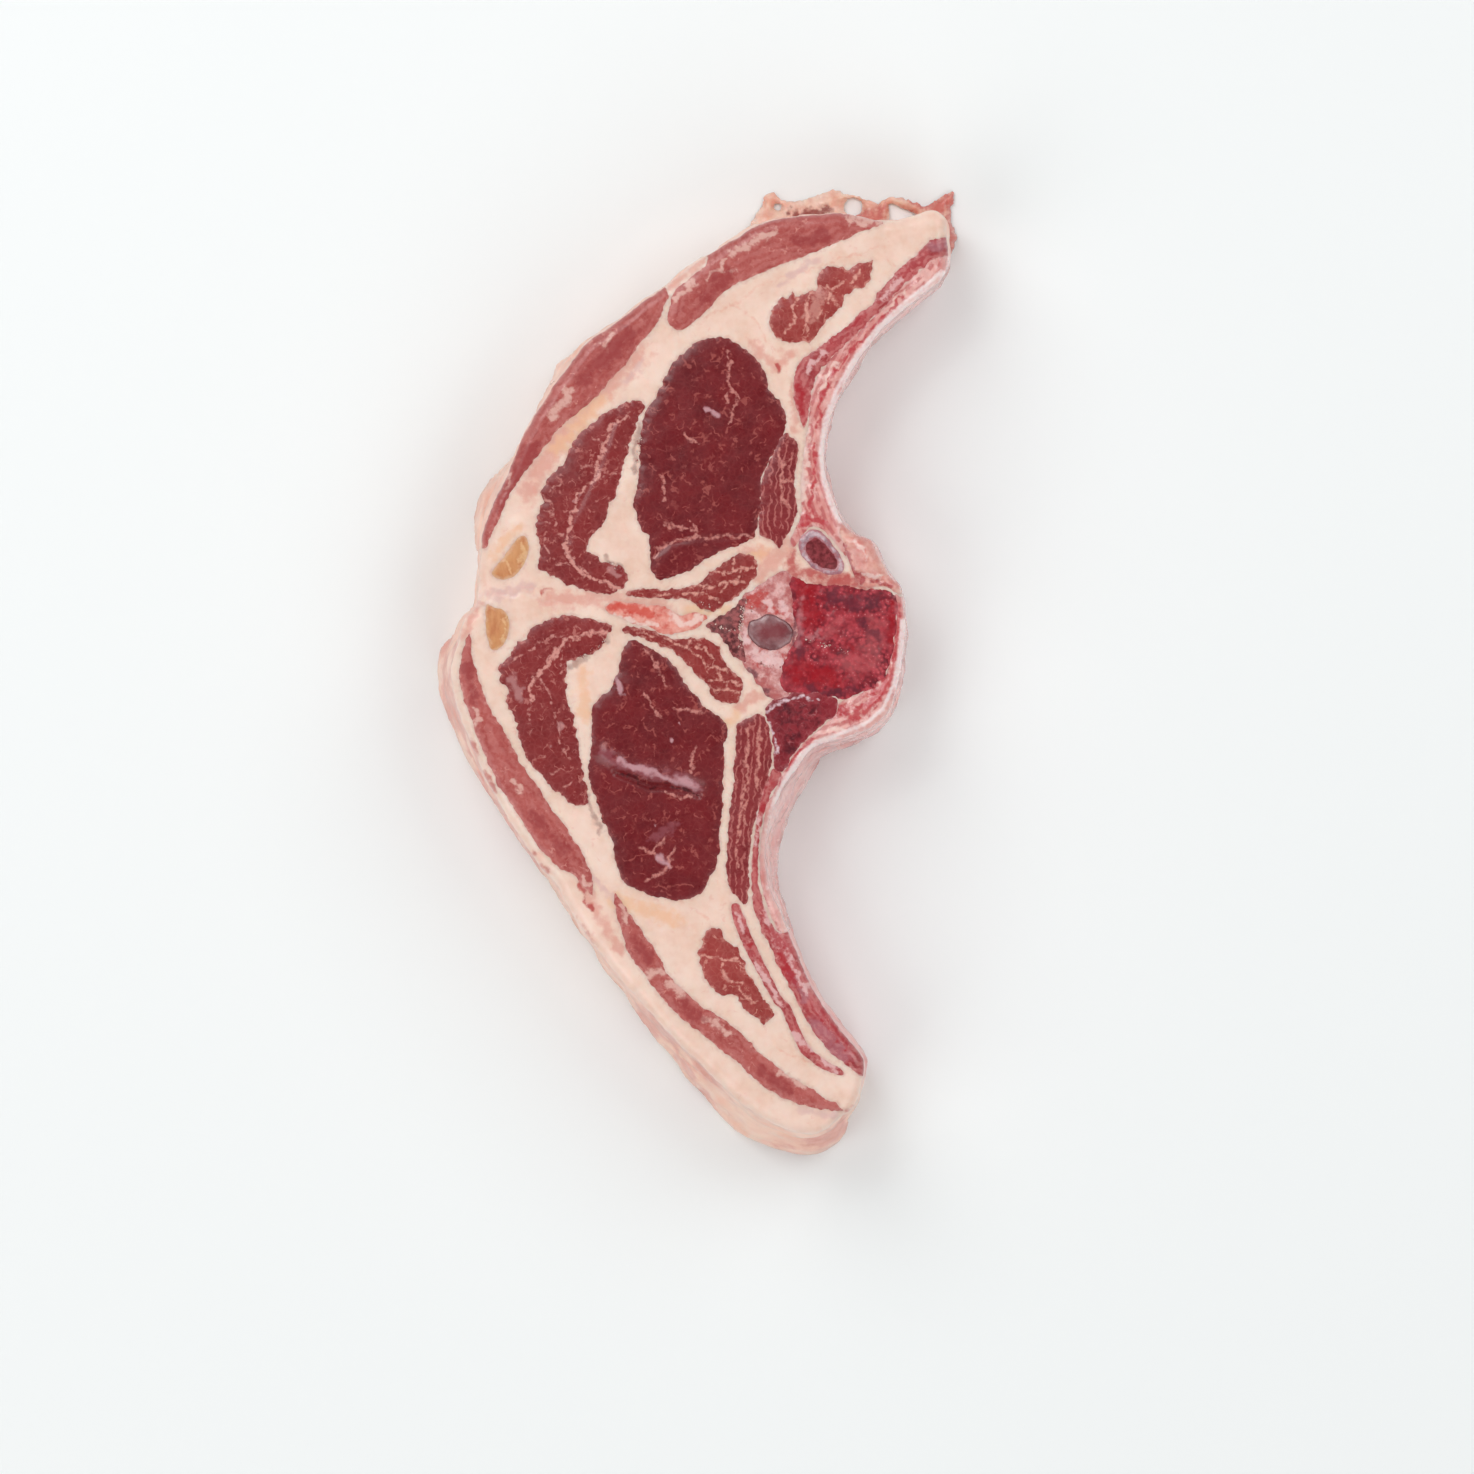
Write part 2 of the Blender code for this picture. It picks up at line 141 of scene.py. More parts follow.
def round_loop(points):
    """A closed smooth curve through the given points, in even short steps, counter-clockwise."""
    points = np.array(points, float)
    before, after, beyond = (np.roll(points, shift, 0) for shift in (1, -1, -2))
    runs = [
        0.5 * (
            2 * points + (after - before) * t + (2 * before - 5 * points + 4 * after - beyond) * t ** 2
                + (3 * points - before - 3 * after + beyond) * t ** 3
        )
        for t in np.arange(0, 1, 1 / 12)
    ]
    fine = np.stack(runs, 1).reshape(-1, 2)
    fine = np.vstack([fine, fine[:1]])
    along = np.concatenate([[0], np.cumsum(np.hypot(*np.diff(fine, axis=0).T))])
    stations = np.linspace(0, along[-1], max(8, round(along[-1] / LOOP_STEP)) + 1)[:-1]
    loop = np.stack([np.interp(stations, along, column) for column in fine.T], 1)
    x, y = loop.T
    clockwise = (x * np.roll(y, -1) - y * np.roll(x, -1)).sum() < 0
    return loop[::-1] if clockwise else loop


def loop_normals(loop):
    """Outward unit normals of a counter-clockwise loop."""
    along = np.roll(loop, -1, 0) - np.roll(loop, 1, 0)
    normals = np.stack([along[:, 1], -along[:, 0]], 1)
    return normals / np.hypot(*normals.T)[:, None]


def ripple(points, size, seed, octaves=3):
    """Smooth natural unevenness of about +-1 at places given in mm, with lumps of this size in mm."""
    places = np.zeros((len(points), 3))
    places[:, :points.shape[1]] = np.asarray(points) / size
    places[:, 2] += seed * 7.31
    return np.array([noise.fractal(Vector(place), 1.0, 2.0, octaves) for place in places])


def wavering(plan, amount, size, seed):
    """The places shifted a little, so that what is drawn on them wavers."""
    return plan + amount * np.stack([ripple(plan, size, seed, 2), ripple(plan, size, seed + 1, 2)], 1)


def frayed(loop, amount, size, seed):
    """The loop with its edge wandering in and out, as cut fibres and fat grow into each other."""
    wander = ripple(loop, size, seed) + 0.45 * ripple(loop, 0.55, seed + 60, 1)
    return loop + loop_normals(loop) * (amount * wander)[:, None]


def finder(places):
    """A tree that finds the nearest of many places."""
    tree = kdtree.KDTree(len(places))
    for index, (x, y) in enumerate(places):
        tree.insert((x, y, 0), index)
    tree.balance()
    return tree


def run_distance(points, a, b):
    """Distance from each point to the straight run from a to b."""
    along = b - a
    share = np.clip(((points - a) * along).sum(1) / np.maximum((along ** 2).sum(-1), 1e-9), 0, 1)
    return np.hypot(*(points - a - along * share[:, None]).T)


def edge_distance(points, starts, ends):
    """Distance in mm from each point to the nearest of many short edges, and that edge's number."""
    tree = finder((starts + ends) / 2)
    near = np.array([[hit[1] for hit in tree.find_n((x, y, 0), 3)] for x, y in points])
    gaps = [run_distance(points, starts[column], ends[column]) for column in near.T]
    return np.min(gaps, 0), near[:, 0]


def line_distance(points, line):
    """Distance in mm from each point to a drawn line of few points."""
    line = np.array(line, float)
    return np.min([run_distance(points, a, b) for a, b in zip(line[:-1], line[1:])], 0)


def strokes(*drawn):
    """A field that is 1 along drawn strokes and fades to 0 at their width: (width, points). The
    strokes waver, so that no patch ends in a clean edge."""
    def field_of(plan):
        plan = wavering(plan, 0.75, 1.7, 61)
        total = np.zeros(len(plan))
        for width, points in drawn:
            gap = line_distance(plan, points * 2 if len(points) == 1 else points)
            total = np.maximum(total, np.exp(-(gap / width) ** 2))
        return total
    return field_of


def distance_to(line):
    """The field of distance in mm to one drawn line."""
    return lambda plan: line_distance(plan, line)


# Raw red flesh hangs on the outer wall here, where the hide was pulled away.
FLESH_WALL = strokes(
    (4.0, [(-39.6, 4), (-39.9, -2), (-37.6, -9), (-34, -17), (-27, -28)]), (3.2, [(-10, -52), (2, -64)]),
    (3.6, [(17, -74), (22, -72)]),
)

smooth_rim = round_loop(RIM)
smooth_rim -= loop_normals(smooth_rim) * RIM_INSET
rim = frayed(smooth_rim, *RIM_FRAY)
next_on_rim = np.roll(rim, -1, 0)
rim_normals = loop_normals(rim)
for smoothing in range(6):
    rim_normals = rim_normals + np.roll(rim_normals, 1, 0) + np.roll(rim_normals, -1, 0)
    rim_normals /= np.hypot(*rim_normals.T)[:, None]
spread_at = sorted((int(np.hypot(*(rim - (x, y)).T).argmin()), spread) for x, y, spread in SPREAD)
rim_spread = np.interp(np.arange(len(rim)), *zip(*spread_at), period=len(rim))

# An even, slightly shaken field of points over the slice, from which every face is meshed.
shake = np.random.default_rng(5)
low, high = rim.min(0), rim.max(0)
across = np.arange(low[0], high[0], MESH_STEP)
rows = np.arange(low[1], high[1], MESH_STEP * np.sqrt(3) / 2)
field = np.vstack(
    [
        np.column_stack([across + (k % 2) * MESH_STEP / 2, np.full(len(across), y)])
        for k, y in enumerate(rows)
    ]
)
field += shake.uniform(-0.05, 0.05, field.shape)
taken = []


def mesh_inside(loops, inner, wanted, merge_gap):
    """A flat mesh inside the wanted loops: places on the plan, triangles, and its open edges."""
    polygons, first = [], 0
    for loop in loops:
        polygons.append(list(range(first, first + len(loop))))
        first += len(loop)
    points = [Vector(place) for place in np.vstack(loops + [inner])]
    cut = geometry.delaunay_2d_cdt(points, [], polygons, 0, merge_gap, True)
    triangles = np.array([face for face, inside in zip(cut[2], cut[5]) if set(inside) == wanted])
    used, flat = np.unique(triangles, return_inverse=True)
    triangles = flat.reshape(-1, 3)
    runs = np.concatenate([triangles[:, [0, 1]], triangles[:, [1, 2]], triangles[:, [2, 0]]])
    ahead, back = runs @ (len(used), 1), runs @ (1, len(used))
    return np.array([cut[0][k][:] for k in used]), triangles, runs[~np.isin(ahead, back)]


def cut_sheet(loop):
    """The part of the cut face inside the loop and the rim that no earlier tissue has claimed.
    Neighbours share their border's points exactly."""
    low, high = loop.min(0) - 1, loop.max(0) + 1
    rivals = [other for other in taken if (other.max(0) > low).all() and (other.min(0) < high).all()]
    loops = [rim] + ([] if loop is rim else [loop]) + rivals
    inner = field[((field > low) & (field < high)).all(1)]
    tree = finder(np.vstack(loops))
    clear = np.array([tree.find((x, y, 0))[2] for x, y in inner]) > 0.55 * MESH_STEP
    return mesh_inside(loops, inner[clear], {0} if loop is rim else {0, 1}, 1e-7)


def face_height(plan, waves=FACE_WAVES):
    """Height in mm of the cut face: nearly flat and a little wavy."""
    height = THICKNESS
    for amount, size, seed in waves:
        height = height + amount * ripple(plan, size, seed, 2)
    return height


def wall_rings(start):
    """The wall's rings from the rounded rim down: (height, share of the spread, bulge, unevenness)."""
    rings = []
    for angle in RIM_ANGLES:
        drop = RIM_ROUND * (np.cos(RIM_CUT_ANGLE) - np.cos(angle))
        out = RIM_ROUND * (np.sin(angle) - np.sin(RIM_CUT_ANGLE))
        rings.append((start - drop, 0.0, out, 0.15 * np.sin(angle)))
    drawn = np.array(WALL)[::-1]
    for share in np.linspace(drawn[-1, 0], drawn[0, 0], WALL_STEPS):
        part, bulge = (np.interp(share, drawn[:, 0], drawn[:, k]) for k in (1, 2))
        rings.append((start * share, part, bulge, min(1.0, 4 * (1 - share))))
    return rings


def put(name, data):
    """An object of this data in the scene."""
    made = bpy.data.objects.new(name, data)
    bpy.context.scene.collection.objects.link(made)
    return made


def as_piece(name, vertices, faces, sharp, layers, material, node=None):
    """The solid, in mm, as a finished piece that rides on the slice."""
    mesh = bpy.data.meshes.new(name)
    mesh.from_pydata((vertices * MM).tolist(), [], faces)
    mesh.shade_smooth()
    mesh.set_sharp_from_angle(angle=np.radians(sharp))
    for layer, numbers in layers.items():
        mesh.attributes.new(layer, "FLOAT", "POINT").data.foreach_set("value", numbers.astype(np.float32))
    mesh.materials.append(material)
    piece = put(name, mesh)
    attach(piece, "root")
    if node:
        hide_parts(node)


def raise_tissue(
    name, node, outline, fray, material, crown=0.25, sink=0.0, relief=None, layers=None,
):
    """One tissue as a closed solid that replaces a node: its part of the upper face, its part of the
    underside and the wall between. Its outline is drawn and then frayed by (amount, size, seed). Layers
    are fields for its material: strokes, or a function of places on the plan."""
    loop = frayed(round_loop(outline), *fray) if fray else outline
    plan, triangles, edges = cut_sheet(loop)
    taken.append(loop)
    count = len(plan)

    rim_gap, rim_index = edge_distance(plan, rim, next_on_rim)
    outer = np.zeros(count, bool)
    outer[np.unique(edges)] = rim_gap[np.unique(edges)] < TOUCHING
    on_rim = outer[edges].all(1)
    on_rim &= edge_distance(plan[edges].mean(1), rim, next_on_rim)[0] < TOUCHING
    held = edges[~on_rim]
    border_gap = edge_distance(plan, plan[held[:, 0]], plan[held[:, 1]])[0] if len(held) else rim_gap + 9

    reach = RIM_ROUND * np.sin(RIM_CUT_ANGLE)
    over = np.clip(reach - rim_gap, 0, reach)
    top = face_height(plan) - (RIM_ROUND - np.sqrt(RIM_ROUND ** 2 - over ** 2))
    top += crown * (1 - np.exp(-border_gap / CROWN_REACH)) - sink
    if relief is not None:
        top += relief(plan) * (1 - np.exp(-border_gap / RELIEF_REACH))
    outward, spread = rim_normals[rim_index], rim_spread[rim_index]
    fade = np.clip(1 - rim_gap / (1.5 * spread + 2), 0, 1) ** 2
    foot = plan + outward * ((spread + WALL_FOOT_BULGE) * fade)[:, None]

    vertices = [np.column_stack([plan, top]), np.column_stack([foot, np.zeros(count)])]
    origin, depth = [np.arange(count)] * 2, [rim_gap] * 2
    rim_points = np.flatnonzero(outer)
    near, after = rim_index[rim_points], (rim_index[rim_points] + 1) % len(rim)
    nearer = np.hypot(*(rim[after] - plan[rim_points]).T) < np.hypot(*(rim[near] - plan[rim_points]).T)
    near = np.where(nearer, after, near)
    fray = rim[near] - smooth_rim[near]
    columns = {k: [k, count + k] for k in np.unique(edges)}
    first = 2 * count
    start = top[rim_points]
    crease_height = THICKNESS * (CREASE_PLACE + CREASE_SWING * ripple(plan[rim_points], 16, 8, 2))
    creased = np.clip(0.9 * ripple(plan[rim_points], 11, 9, 2) + 0.35, 0, 1)
    for height, part, bulge, unevenness in wall_rings(start):
        place = np.column_stack([plan[rim_points], height])
        lumps = 0.5 * ripple(place, 6.0, 6, 3) + 0.22 * ripple(place * (0.6, 0.6, 2.4), 3.0, 7, 3)
        above = (height - crease_height) / CREASE_WIDTH
        lumps += creased * (
            CREASE_BULGE * np.exp(-(above - 1.2) ** 2) - CREASE_DEPTH * np.exp(-above ** 2)
        )
        out = spread[rim_points] * part + bulge + unevenness * lumps
        place[:, :2] += outward[rim_points] * out[:, None] - fray * unevenness
        vertices.append(place)
        origin.append(rim_points)
        depth.append(height - start - spread[rim_points] * part)
        for order, k in enumerate(rim_points):
            columns[k].insert(-1, first + order)
        first += len(rim_points)

    faces = triangles.tolist() + (triangles[:, ::-1] + count).tolist()
    for (a, b), along_rim in zip(edges.tolist(), on_rim):
        down, up = columns[a], columns[b]
        if along_rim:
            faces += [[up[k], down[k], down[k + 1], up[k + 1]] for k in range(len(down) - 1)]
        else:
            faces.append([up[0]] + down + up[:0:-1])

    vertices, origin = np.vstack(vertices), np.concatenate(origin)
    vertices[:, :2] -= DRAWING_MIDDLE
    along_wall = 5.0 * ripple(vertices, 8.0, 66, 2)
    values = {
        "rim_gap": np.concatenate(depth),
        "border_gap": border_gap[origin],
        "cavity_side": np.clip((4.5 - line_distance(plan, CAVITY)) / 3, 0, 1)[origin],
        "flesh_wall": FLESH_WALL(plan[origin] + along_wall[:, None] * (0.6, -0.8)),
    }
    for layer, drawn in (layers or {}).items():
        work_out = strokes(*drawn) if isinstance(drawn, list) else drawn
        values[layer] = work_out(plan)[origin]
    as_piece(name, vertices, faces, 55, values, material, node)


# ----------------------------------------------------------
# Spinal cord
#
# The cut end of the cord, a soft grey-mauve plug. It draws back a little into its canal and domes up wet.

def shade(red, green, blue):
    """A colour as the eye names it, 0 to 255, in the linear light that shaders take."""
    part = np.array([red, green, blue]) / 255
    light = np.where(part <= 0.04045, part / 12.92, ((part + 0.055) / 1.055) ** 2.4)
    return (*light.tolist(), 1.0)


def add(tree, kind, inputs=(), **settings):
    """A shader node with its settings, and its inputs given as values or as sockets to link from."""
    made = tree.nodes.new(kind)
    for key, value in settings.items():
        setattr(made, key, value)
    for key, value in dict(inputs).items():
        if isinstance(value, bpy.types.NodeSocket):
            tree.links.new(value, made.inputs[key])
        else:
            made.inputs[key].default_value = value
    return made


def maths(tree, operation, *values):
    return add(tree, "ShaderNodeMath", dict(enumerate(values)), operation=operation).outputs[0]


def places(tree, operation, inputs):
    return add(tree, "ShaderNodeVectorMath", inputs, operation=operation).outputs[0]


def grain(tree, place, scale, detail=2.0, roughness=0.5, output=0):
    """A soft noise, by default as one number about 0.5."""
    return add(
        tree, "ShaderNodeTexNoise",
        {"Vector": place, "Scale": scale, "Detail": detail, "Roughness": roughness},
    ).outputs[output]


def swayed(tree, value, wobble, amount, middle=0.5):
    """The value moved up and down by a wobble about its middle."""
    return maths(tree, "MULTIPLY_ADD", maths(tree, "SUBTRACT", wobble, middle), amount, value)


def between(tree, value, low, high):
    """0 below low, 1 above high, and smooth between. High may be the lower of the two."""
    made = add(
        tree, "ShaderNodeMapRange", {"Value": value, "From Min": low, "From Max": high},
        interpolation_type="SMOOTHSTEP",
    )
    return made.outputs[0]


def blend(tree, share, first, second):
    """The first colour, and the second over it by this share."""
    return add(tree, "ShaderNodeMix", {0: share, 6: first, 7: second}, data_type="RGBA").outputs[2]


def over(tree, colour, *coats):
    """Tones laid over the colour, each where its mask is: (mask, strength, tone)."""
    for mask, strength, tone in coats:
        colour = blend(tree, maths(tree, "MULTIPLY", mask, strength), colour, tone)
    return colour


def layer(tree, name):
    return add(tree, "ShaderNodeAttribute", attribute_name=name).outputs["Fac"]


def new_group(name, inputs, output, kind="NodeSocketFloat"):
    """An empty shader group with number inputs, a place to read, and one output."""
    group = bpy.data.node_groups.new(name, "ShaderNodeTree")
    group.interface.new_socket("Place", in_out="INPUT", socket_type="NodeSocketVector")
    for key, value in inputs.items():
        group.interface.new_socket(
            key, in_out="INPUT", socket_type="NodeSocketFloat",
        ).default_value = value
    group.interface.new_socket(output, in_out="OUTPUT", socket_type=kind)
    return group, group.nodes.new("NodeGroupInput").outputs, group.nodes.new("NodeGroupOutput").inputs[0]


def moved(tree, place, seed):
    """The place moved far along a diagonal by a seed, so that two patterns don't match."""
    shift = add(tree, "ShaderNodeCombineXYZ", {0: seed, 1: seed, 2: seed}).outputs[0]
    return places(tree, "ADD", {0: place, 1: shift})


# Uneven tone, like the cloudy light and dark of wet meat: a value that wanders between 0 and 1.
cloud_group, give, result = new_group("Cloud", {"Lump Size": 5.0, "Crispness": 0.25, "Seed": 0.0}, "Tone")
start = moved(cloud_group, give["Place"], give["Seed"])
cloud = grain(cloud_group, start, maths(cloud_group, "DIVIDE", 1.0, give["Lump Size"]), 4.0, 0.55)
cloud_low, cloud_high = (maths(cloud_group, step, 0.5, give["Crispness"]) for step in ("SUBTRACT", "ADD"))
cloud_group.links.new(between(cloud_group, cloud, cloud_low, cloud_high), result)

# Fine unevenness of a wet cut face, for the bump of every tissue.
wet_group, give, result = new_group("Wet relief", {"Grain Size": 0.8, "Swell": 0.6}, "Height")
fine = grain(wet_group, give["Place"], maths(wet_group, "DIVIDE", 1.0, give["Grain Size"]), 3.0)
swell = grain(wet_group, give["Place"], 0.28)
fine = maths(wet_group, "MULTIPLY", fine, 0.22)
wet_group.links.new(maths(wet_group, "MULTIPLY_ADD", swell, give["Swell"], fine), result)

# Whether a drawn line or border is near: 1 on it and 0 away from it, with a frayed edge.
line_group, give, result = new_group(
    "Frayed line", {"Distance": 1.0, "Half Width": 0.3, "Softness": 0.15, "Fray": 0.3, "Fray Size": 0.7},
    "Mask",
)
fray = grain(line_group, give["Place"], maths(line_group, "DIVIDE", 1.0, give["Fray Size"]))
gap = swayed(line_group, give["Distance"], fray, maths(line_group, "MULTIPLY", give["Fray"], 4.0))
far, close = (
    maths(line_group, step, give["Half Width"], give["Softness"]) for step in ("ADD", "SUBTRACT")
)
line_group.links.new(between(line_group, gap, far, close), result)


def use(tree, group, place, **values):
    """One of the shared groups placed in a material, with its own values."""
    values = {key.replace("_", " ").title(): value for key, value in values.items()}
    return add(tree, "ShaderNodeGroup", {"Place": place, **values}, node_tree=group).outputs[0]


def follow(tree, group, place, name, **values):
    """A shared group placed so that it follows the distance in one of the tissue's layers."""
    return use(tree, group, place, distance=layer(tree, name), **values)


def clouds(tree, place, lump_size, crispness, seed):
    return use(tree, cloud_group, place, lump_size=lump_size, crispness=crispness, seed=seed)


def wet_material(name, roughness, gloss, glow, glow_depth, bump=0.35, grain_size=0.8):
    """A wet tissue without its colour: its gloss, the light that soaks in, and the place that its
    pattern reads, in mm, which hardly changes through the thickness because fibres run that way."""
    material = bpy.data.materials.new(name)
    material.use_nodes = True
    tree = material.node_tree
    surface = tree.nodes["Principled BSDF"]
    for key, value in {
        "Coat Weight": gloss,
        "Coat Roughness": 0.16,
        "Specular IOR Level": 0.32,
        "Subsurface Weight": glow,
        "Subsurface Radius": (1.0, 0.42, 0.30),
        "Subsurface Scale": glow_depth * MM,
    }.items():
        surface.inputs[key].default_value = value
    position = add(tree, "ShaderNodeTexCoord").outputs["Object"]
    place = places(tree, "MULTIPLY", {0: position, 1: (1000, 1000, 180)})
    dull = clouds(tree, place, 2.6, 0.3, 31.0)
    tree.links.new(maths(tree, "MULTIPLY_ADD", dull, 0.16, roughness - 0.08), surface.inputs["Roughness"])
    skin_place = places(tree, "SCALE", {0: position, "Scale": 1000.0})
    relief = use(tree, wet_group, skin_place, grain_size=grain_size)
    raised = add(tree, "ShaderNodeBump", {"Height": relief, "Strength": bump, "Distance": 0.35 * MM})
    tree.links.new(raised.outputs[0], surface.inputs["Normal"])
    return material, tree, place


def paint(tree, colour):
    tree.links.new(colour, tree.nodes["Principled BSDF"].inputs["Base Color"])


material, tree, place = wet_material("Spinal cord", 0.22, 0.55, 0.15, 1.0, bump=0.2)
mist = clouds(tree, place, 2.6, 0.16, 4.0)
rose = follow(tree, line_group, place, "core_gap", half_width=1.3, softness=1.0, fray=0.4)
colour = blend(tree, mist, shade(120, 72, 76), shade(160, 122, 124))
colour = over(tree, colour, (rose, 0.8, shade(128, 54, 60)))
paint(tree, colour)

CORD = [
    (8, 8.8), (9.3, 9.4), (10.6, 10.1), (11.8, 10), (13, 9.4), (14.4, 8.6), (15, 7.3), (14.6, 5.7),
    (13, 4.6), (11.5, 4.3), (10, 4.7), (8.7, 5.5), (7.8, 7),
]
raise_tissue(
    "spinal_cord_end", "spinal_cord", CORD, (0.12, 1.2, 11), material, crown=0.45, sink=0.3,
    layers={"core_gap": distance_to([(10.6, 7.2), (12.8, 7.4)])},
)


# ----------------------------------------------------------
# Rib head
#
# The saw cuts the rib's head across, so it shows as a small ring of hard grey-white bone, smooth and
# slightly proud, round a soft maroon core of marrow.

material, tree, place = wet_material("Rib marrow", 0.35, 0.35, 0.12, 0.8, grain_size=0.5)
speckle = clouds(tree, place, 0.7, 0.2, 9.0)
colour = blend(tree, speckle, shade(98, 28, 34), shade(148, 62, 68))
paint(tree, colour)
RIB_MARROW = [
    (17.1, 21.3), (18.3, 22.4), (19.7, 21.8), (21.2, 20.2), (22.2, 18.6), (21.8, 17.4), (20.1, 17.5),
    (18.4, 18.5), (17.2, 20),
]
raise_tissue("rib_marrow", "rib_head", RIB_MARROW, (0.2, 0.8, 12), material, crown=-0.15)

material, tree, place = wet_material("Rib bone", 0.26, 0.45, 0.1, 0.6, bump=0.15)
cloudy = clouds(tree, place, 1.3, 0.2, 14.0)
inner = follow(tree, line_group, place, "border_gap", half_width=0.28, softness=0.22)
colour = blend(tree, cloudy, shade(150, 116, 126), shade(216, 190, 196))
colour = over(tree, colour, (inner, 0.75, shade(172, 92, 98)))
paint(tree, colour)
RIB_BONE = [
    (15.9, 21.6), (17.1, 23.4), (18.6, 23.8), (20, 23), (21.3, 21.5), (22.5, 19.8), (23.2, 18),
    (22.8, 16.7), (21, 16.5), (19.3, 17), (17.5, 18.2), (16.3, 19.8),
]
raise_tissue("rib_bone", "rib_head", RIB_BONE, (0.15, 1.2, 13), material, crown=0.35)


# ----------------------------------------------------------
# Backbone
#
# The saw goes straight through one vertebra. Its body is spongy red marrow in thin bone. Behind it stands
# the arch round the cord, grey-red and rough, and a spur with bright marrow that points to the back.
# Pink-white gristle lines the canal.

def frayed_mask(tree, place, name, seed, size=1.0, low=0.3, high=0.75):
    """A drawn field with its edge broken up by the tissue's grain."""
    drawn = layer(tree, name)
    mixed = swayed(tree, drawn, clouds(tree, place, size, 0.3, seed), 0.8)
    return maths(tree, "MULTIPLY", between(tree, mixed, low, high + 0.2), between(tree, drawn, 0.03, 0.3))


def stained(tree, place, colour, *stains):
    """Tones laid over the colour where layers are drawn: (layer, seed, strength, tone), and then the size
    of the breaks in its edge and where it starts and is full."""
    for name, seed, strength, tone, *edge in stains:
        colour = over(tree, colour, (frayed_mask(tree, place, name, seed, *edge), strength, tone))
    return colour


material, tree, place = wet_material("Vertebra marrow", 0.38, 0.35, 0.15, 0.9, bump=0.8, grain_size=0.55)
broad = clouds(tree, place, 5.5, 0.16, 2.0)
blotch = clouds(tree, place, 1.7, 0.16, 5.0)
sponge = add(tree, "ShaderNodeTexVoronoi", {"Vector": place, "Scale": 1.9}, feature="SMOOTH_F1").outputs[0]
colour = blend(tree, blotch, shade(132, 32, 44), shade(190, 72, 82))
colour = over(tree, colour, (broad, 0.55, shade(156, 30, 42)))
grainy = maths(tree, "MULTIPLY_ADD", clouds(tree, place, 3.2, 0.16, 20.0), 0.6, 0.25)
colour = over(
    tree, colour, (between(tree, sponge, 0.36, 0.62), grainy, shade(88, 20, 34)),
    (between(tree, sponge, 0.26, 0.02), grainy, shade(212, 130, 134)),
)
colour = stained(
    tree, place, colour, ("rosy", 17.0, 0.5, shade(196, 96, 100), 1.6, 0.3, 1.0),
    ("scarlet", 22.0, 0.85, shade(158, 10, 26), 1.8, 0.35, 1.0),
    ("dusky", 21.0, 0.75, shade(98, 36, 50), 1.3, 0.3, 0.9),
    ("pale", 23.0, 0.6, shade(200, 130, 134), 1.2, 0.4, 1.1),
)
paint(tree, colour)
VERTEBRA = [
    (14.8, 16.3), (16.2, 15.6), (18, 15), (20, 14.8), (22, 14.9), (24, 14.6), (26, 14.2), (28.4, 14.3),
    (31.4, 13.4), (31.7, 10), (31.4, 6), (30.6, 2.4), (29.6, 0), (28, -1.4), (26, -2.6), (23.6, -3.5),
    (21.5, -3.4), (19.5, -2.7), (17, -2.5), (14.4, -2.6), (13.2, -1), (13.4, 1), (13.9, 3), (14.7, 4.5),
    (15.5, 6), (15.8, 8), (15.2, 10), (14.8, 12), (14.6, 14),
]
raise_tissue(
    "vertebra_marrow", "backbone", VERTEBRA, (0.35, 1.6, 14), material, crown=0.1,
    relief=lambda plan: 0.12 * ripple(plan, 1.4, 15, 3),
    layers={
        "scarlet": [
            (2.4, [(17.2, 14), (18, 9.6)]), (2.6, [(15.5, 1.4), (21, -0.6)]), (1.0, [(22, 6.4), (24, 5)]),
            (0.8, [(31, 12), (30.8, 6)]),
        ],
        "dusky": [
            (1.8, [(21.6, 13), (24, 12), (28, 12.4)]), (0.9, [(16, 7.2), (16.4, 4)]),
            (1.0, [(26, 8.6), (29, 6)]), (0.8, [(17.4, -1.6), (21, -2.6), (25, -1.8)]),
        ],
        "rosy": [(2.8, [(28.4, 8), (27.6, 3), (24, 2)]), (1.2, [(22, 9), (20.6, 6.6)])],
        "pale": [
            (1.0, [(16.2, 12), (16, 5.5)]), (0.7, [(18, 6.6), (20, 6.2)]), (0.6, [(17.4, 6), (19.5, 7.5)]),
        ],
    },
)

material, tree, place = wet_material("Bone arch", 0.42, 0.3, 0.1, 0.7, bump=0.9, grain_size=0.5)
pitted = clouds(tree, place, 0.75, 0.13, 6.0)
patch = clouds(tree, place, 2.4, 0.2, 7.0)
colour = blend(tree, pitted, shade(84, 30, 34), shade(168, 88, 88))
colour = over(tree, colour, (patch, 0.4, shade(146, 96, 96)))
paint(tree, colour)
ARCH = [
    (0.8, 8.2), (2.5, 9.3), (4.5, 10.4), (6.5, 12.2), (7.4, 12.4), (7.3, 11), (6.8, 9.5), (6.4, 7.5),
    (6.7, 5.5), (7.4, 4), (7.2, 2.3), (5.8, 3), (4.5, 4.8), (3.2, 6.4), (2, 7.5),
]
raise_tissue(
    "bone_arch", "backbone", ARCH, (0.45, 1.2, 16), material, crown=0.0,
    relief=lambda plan: 0.15 * ripple(plan, 1.0, 17, 3),
)

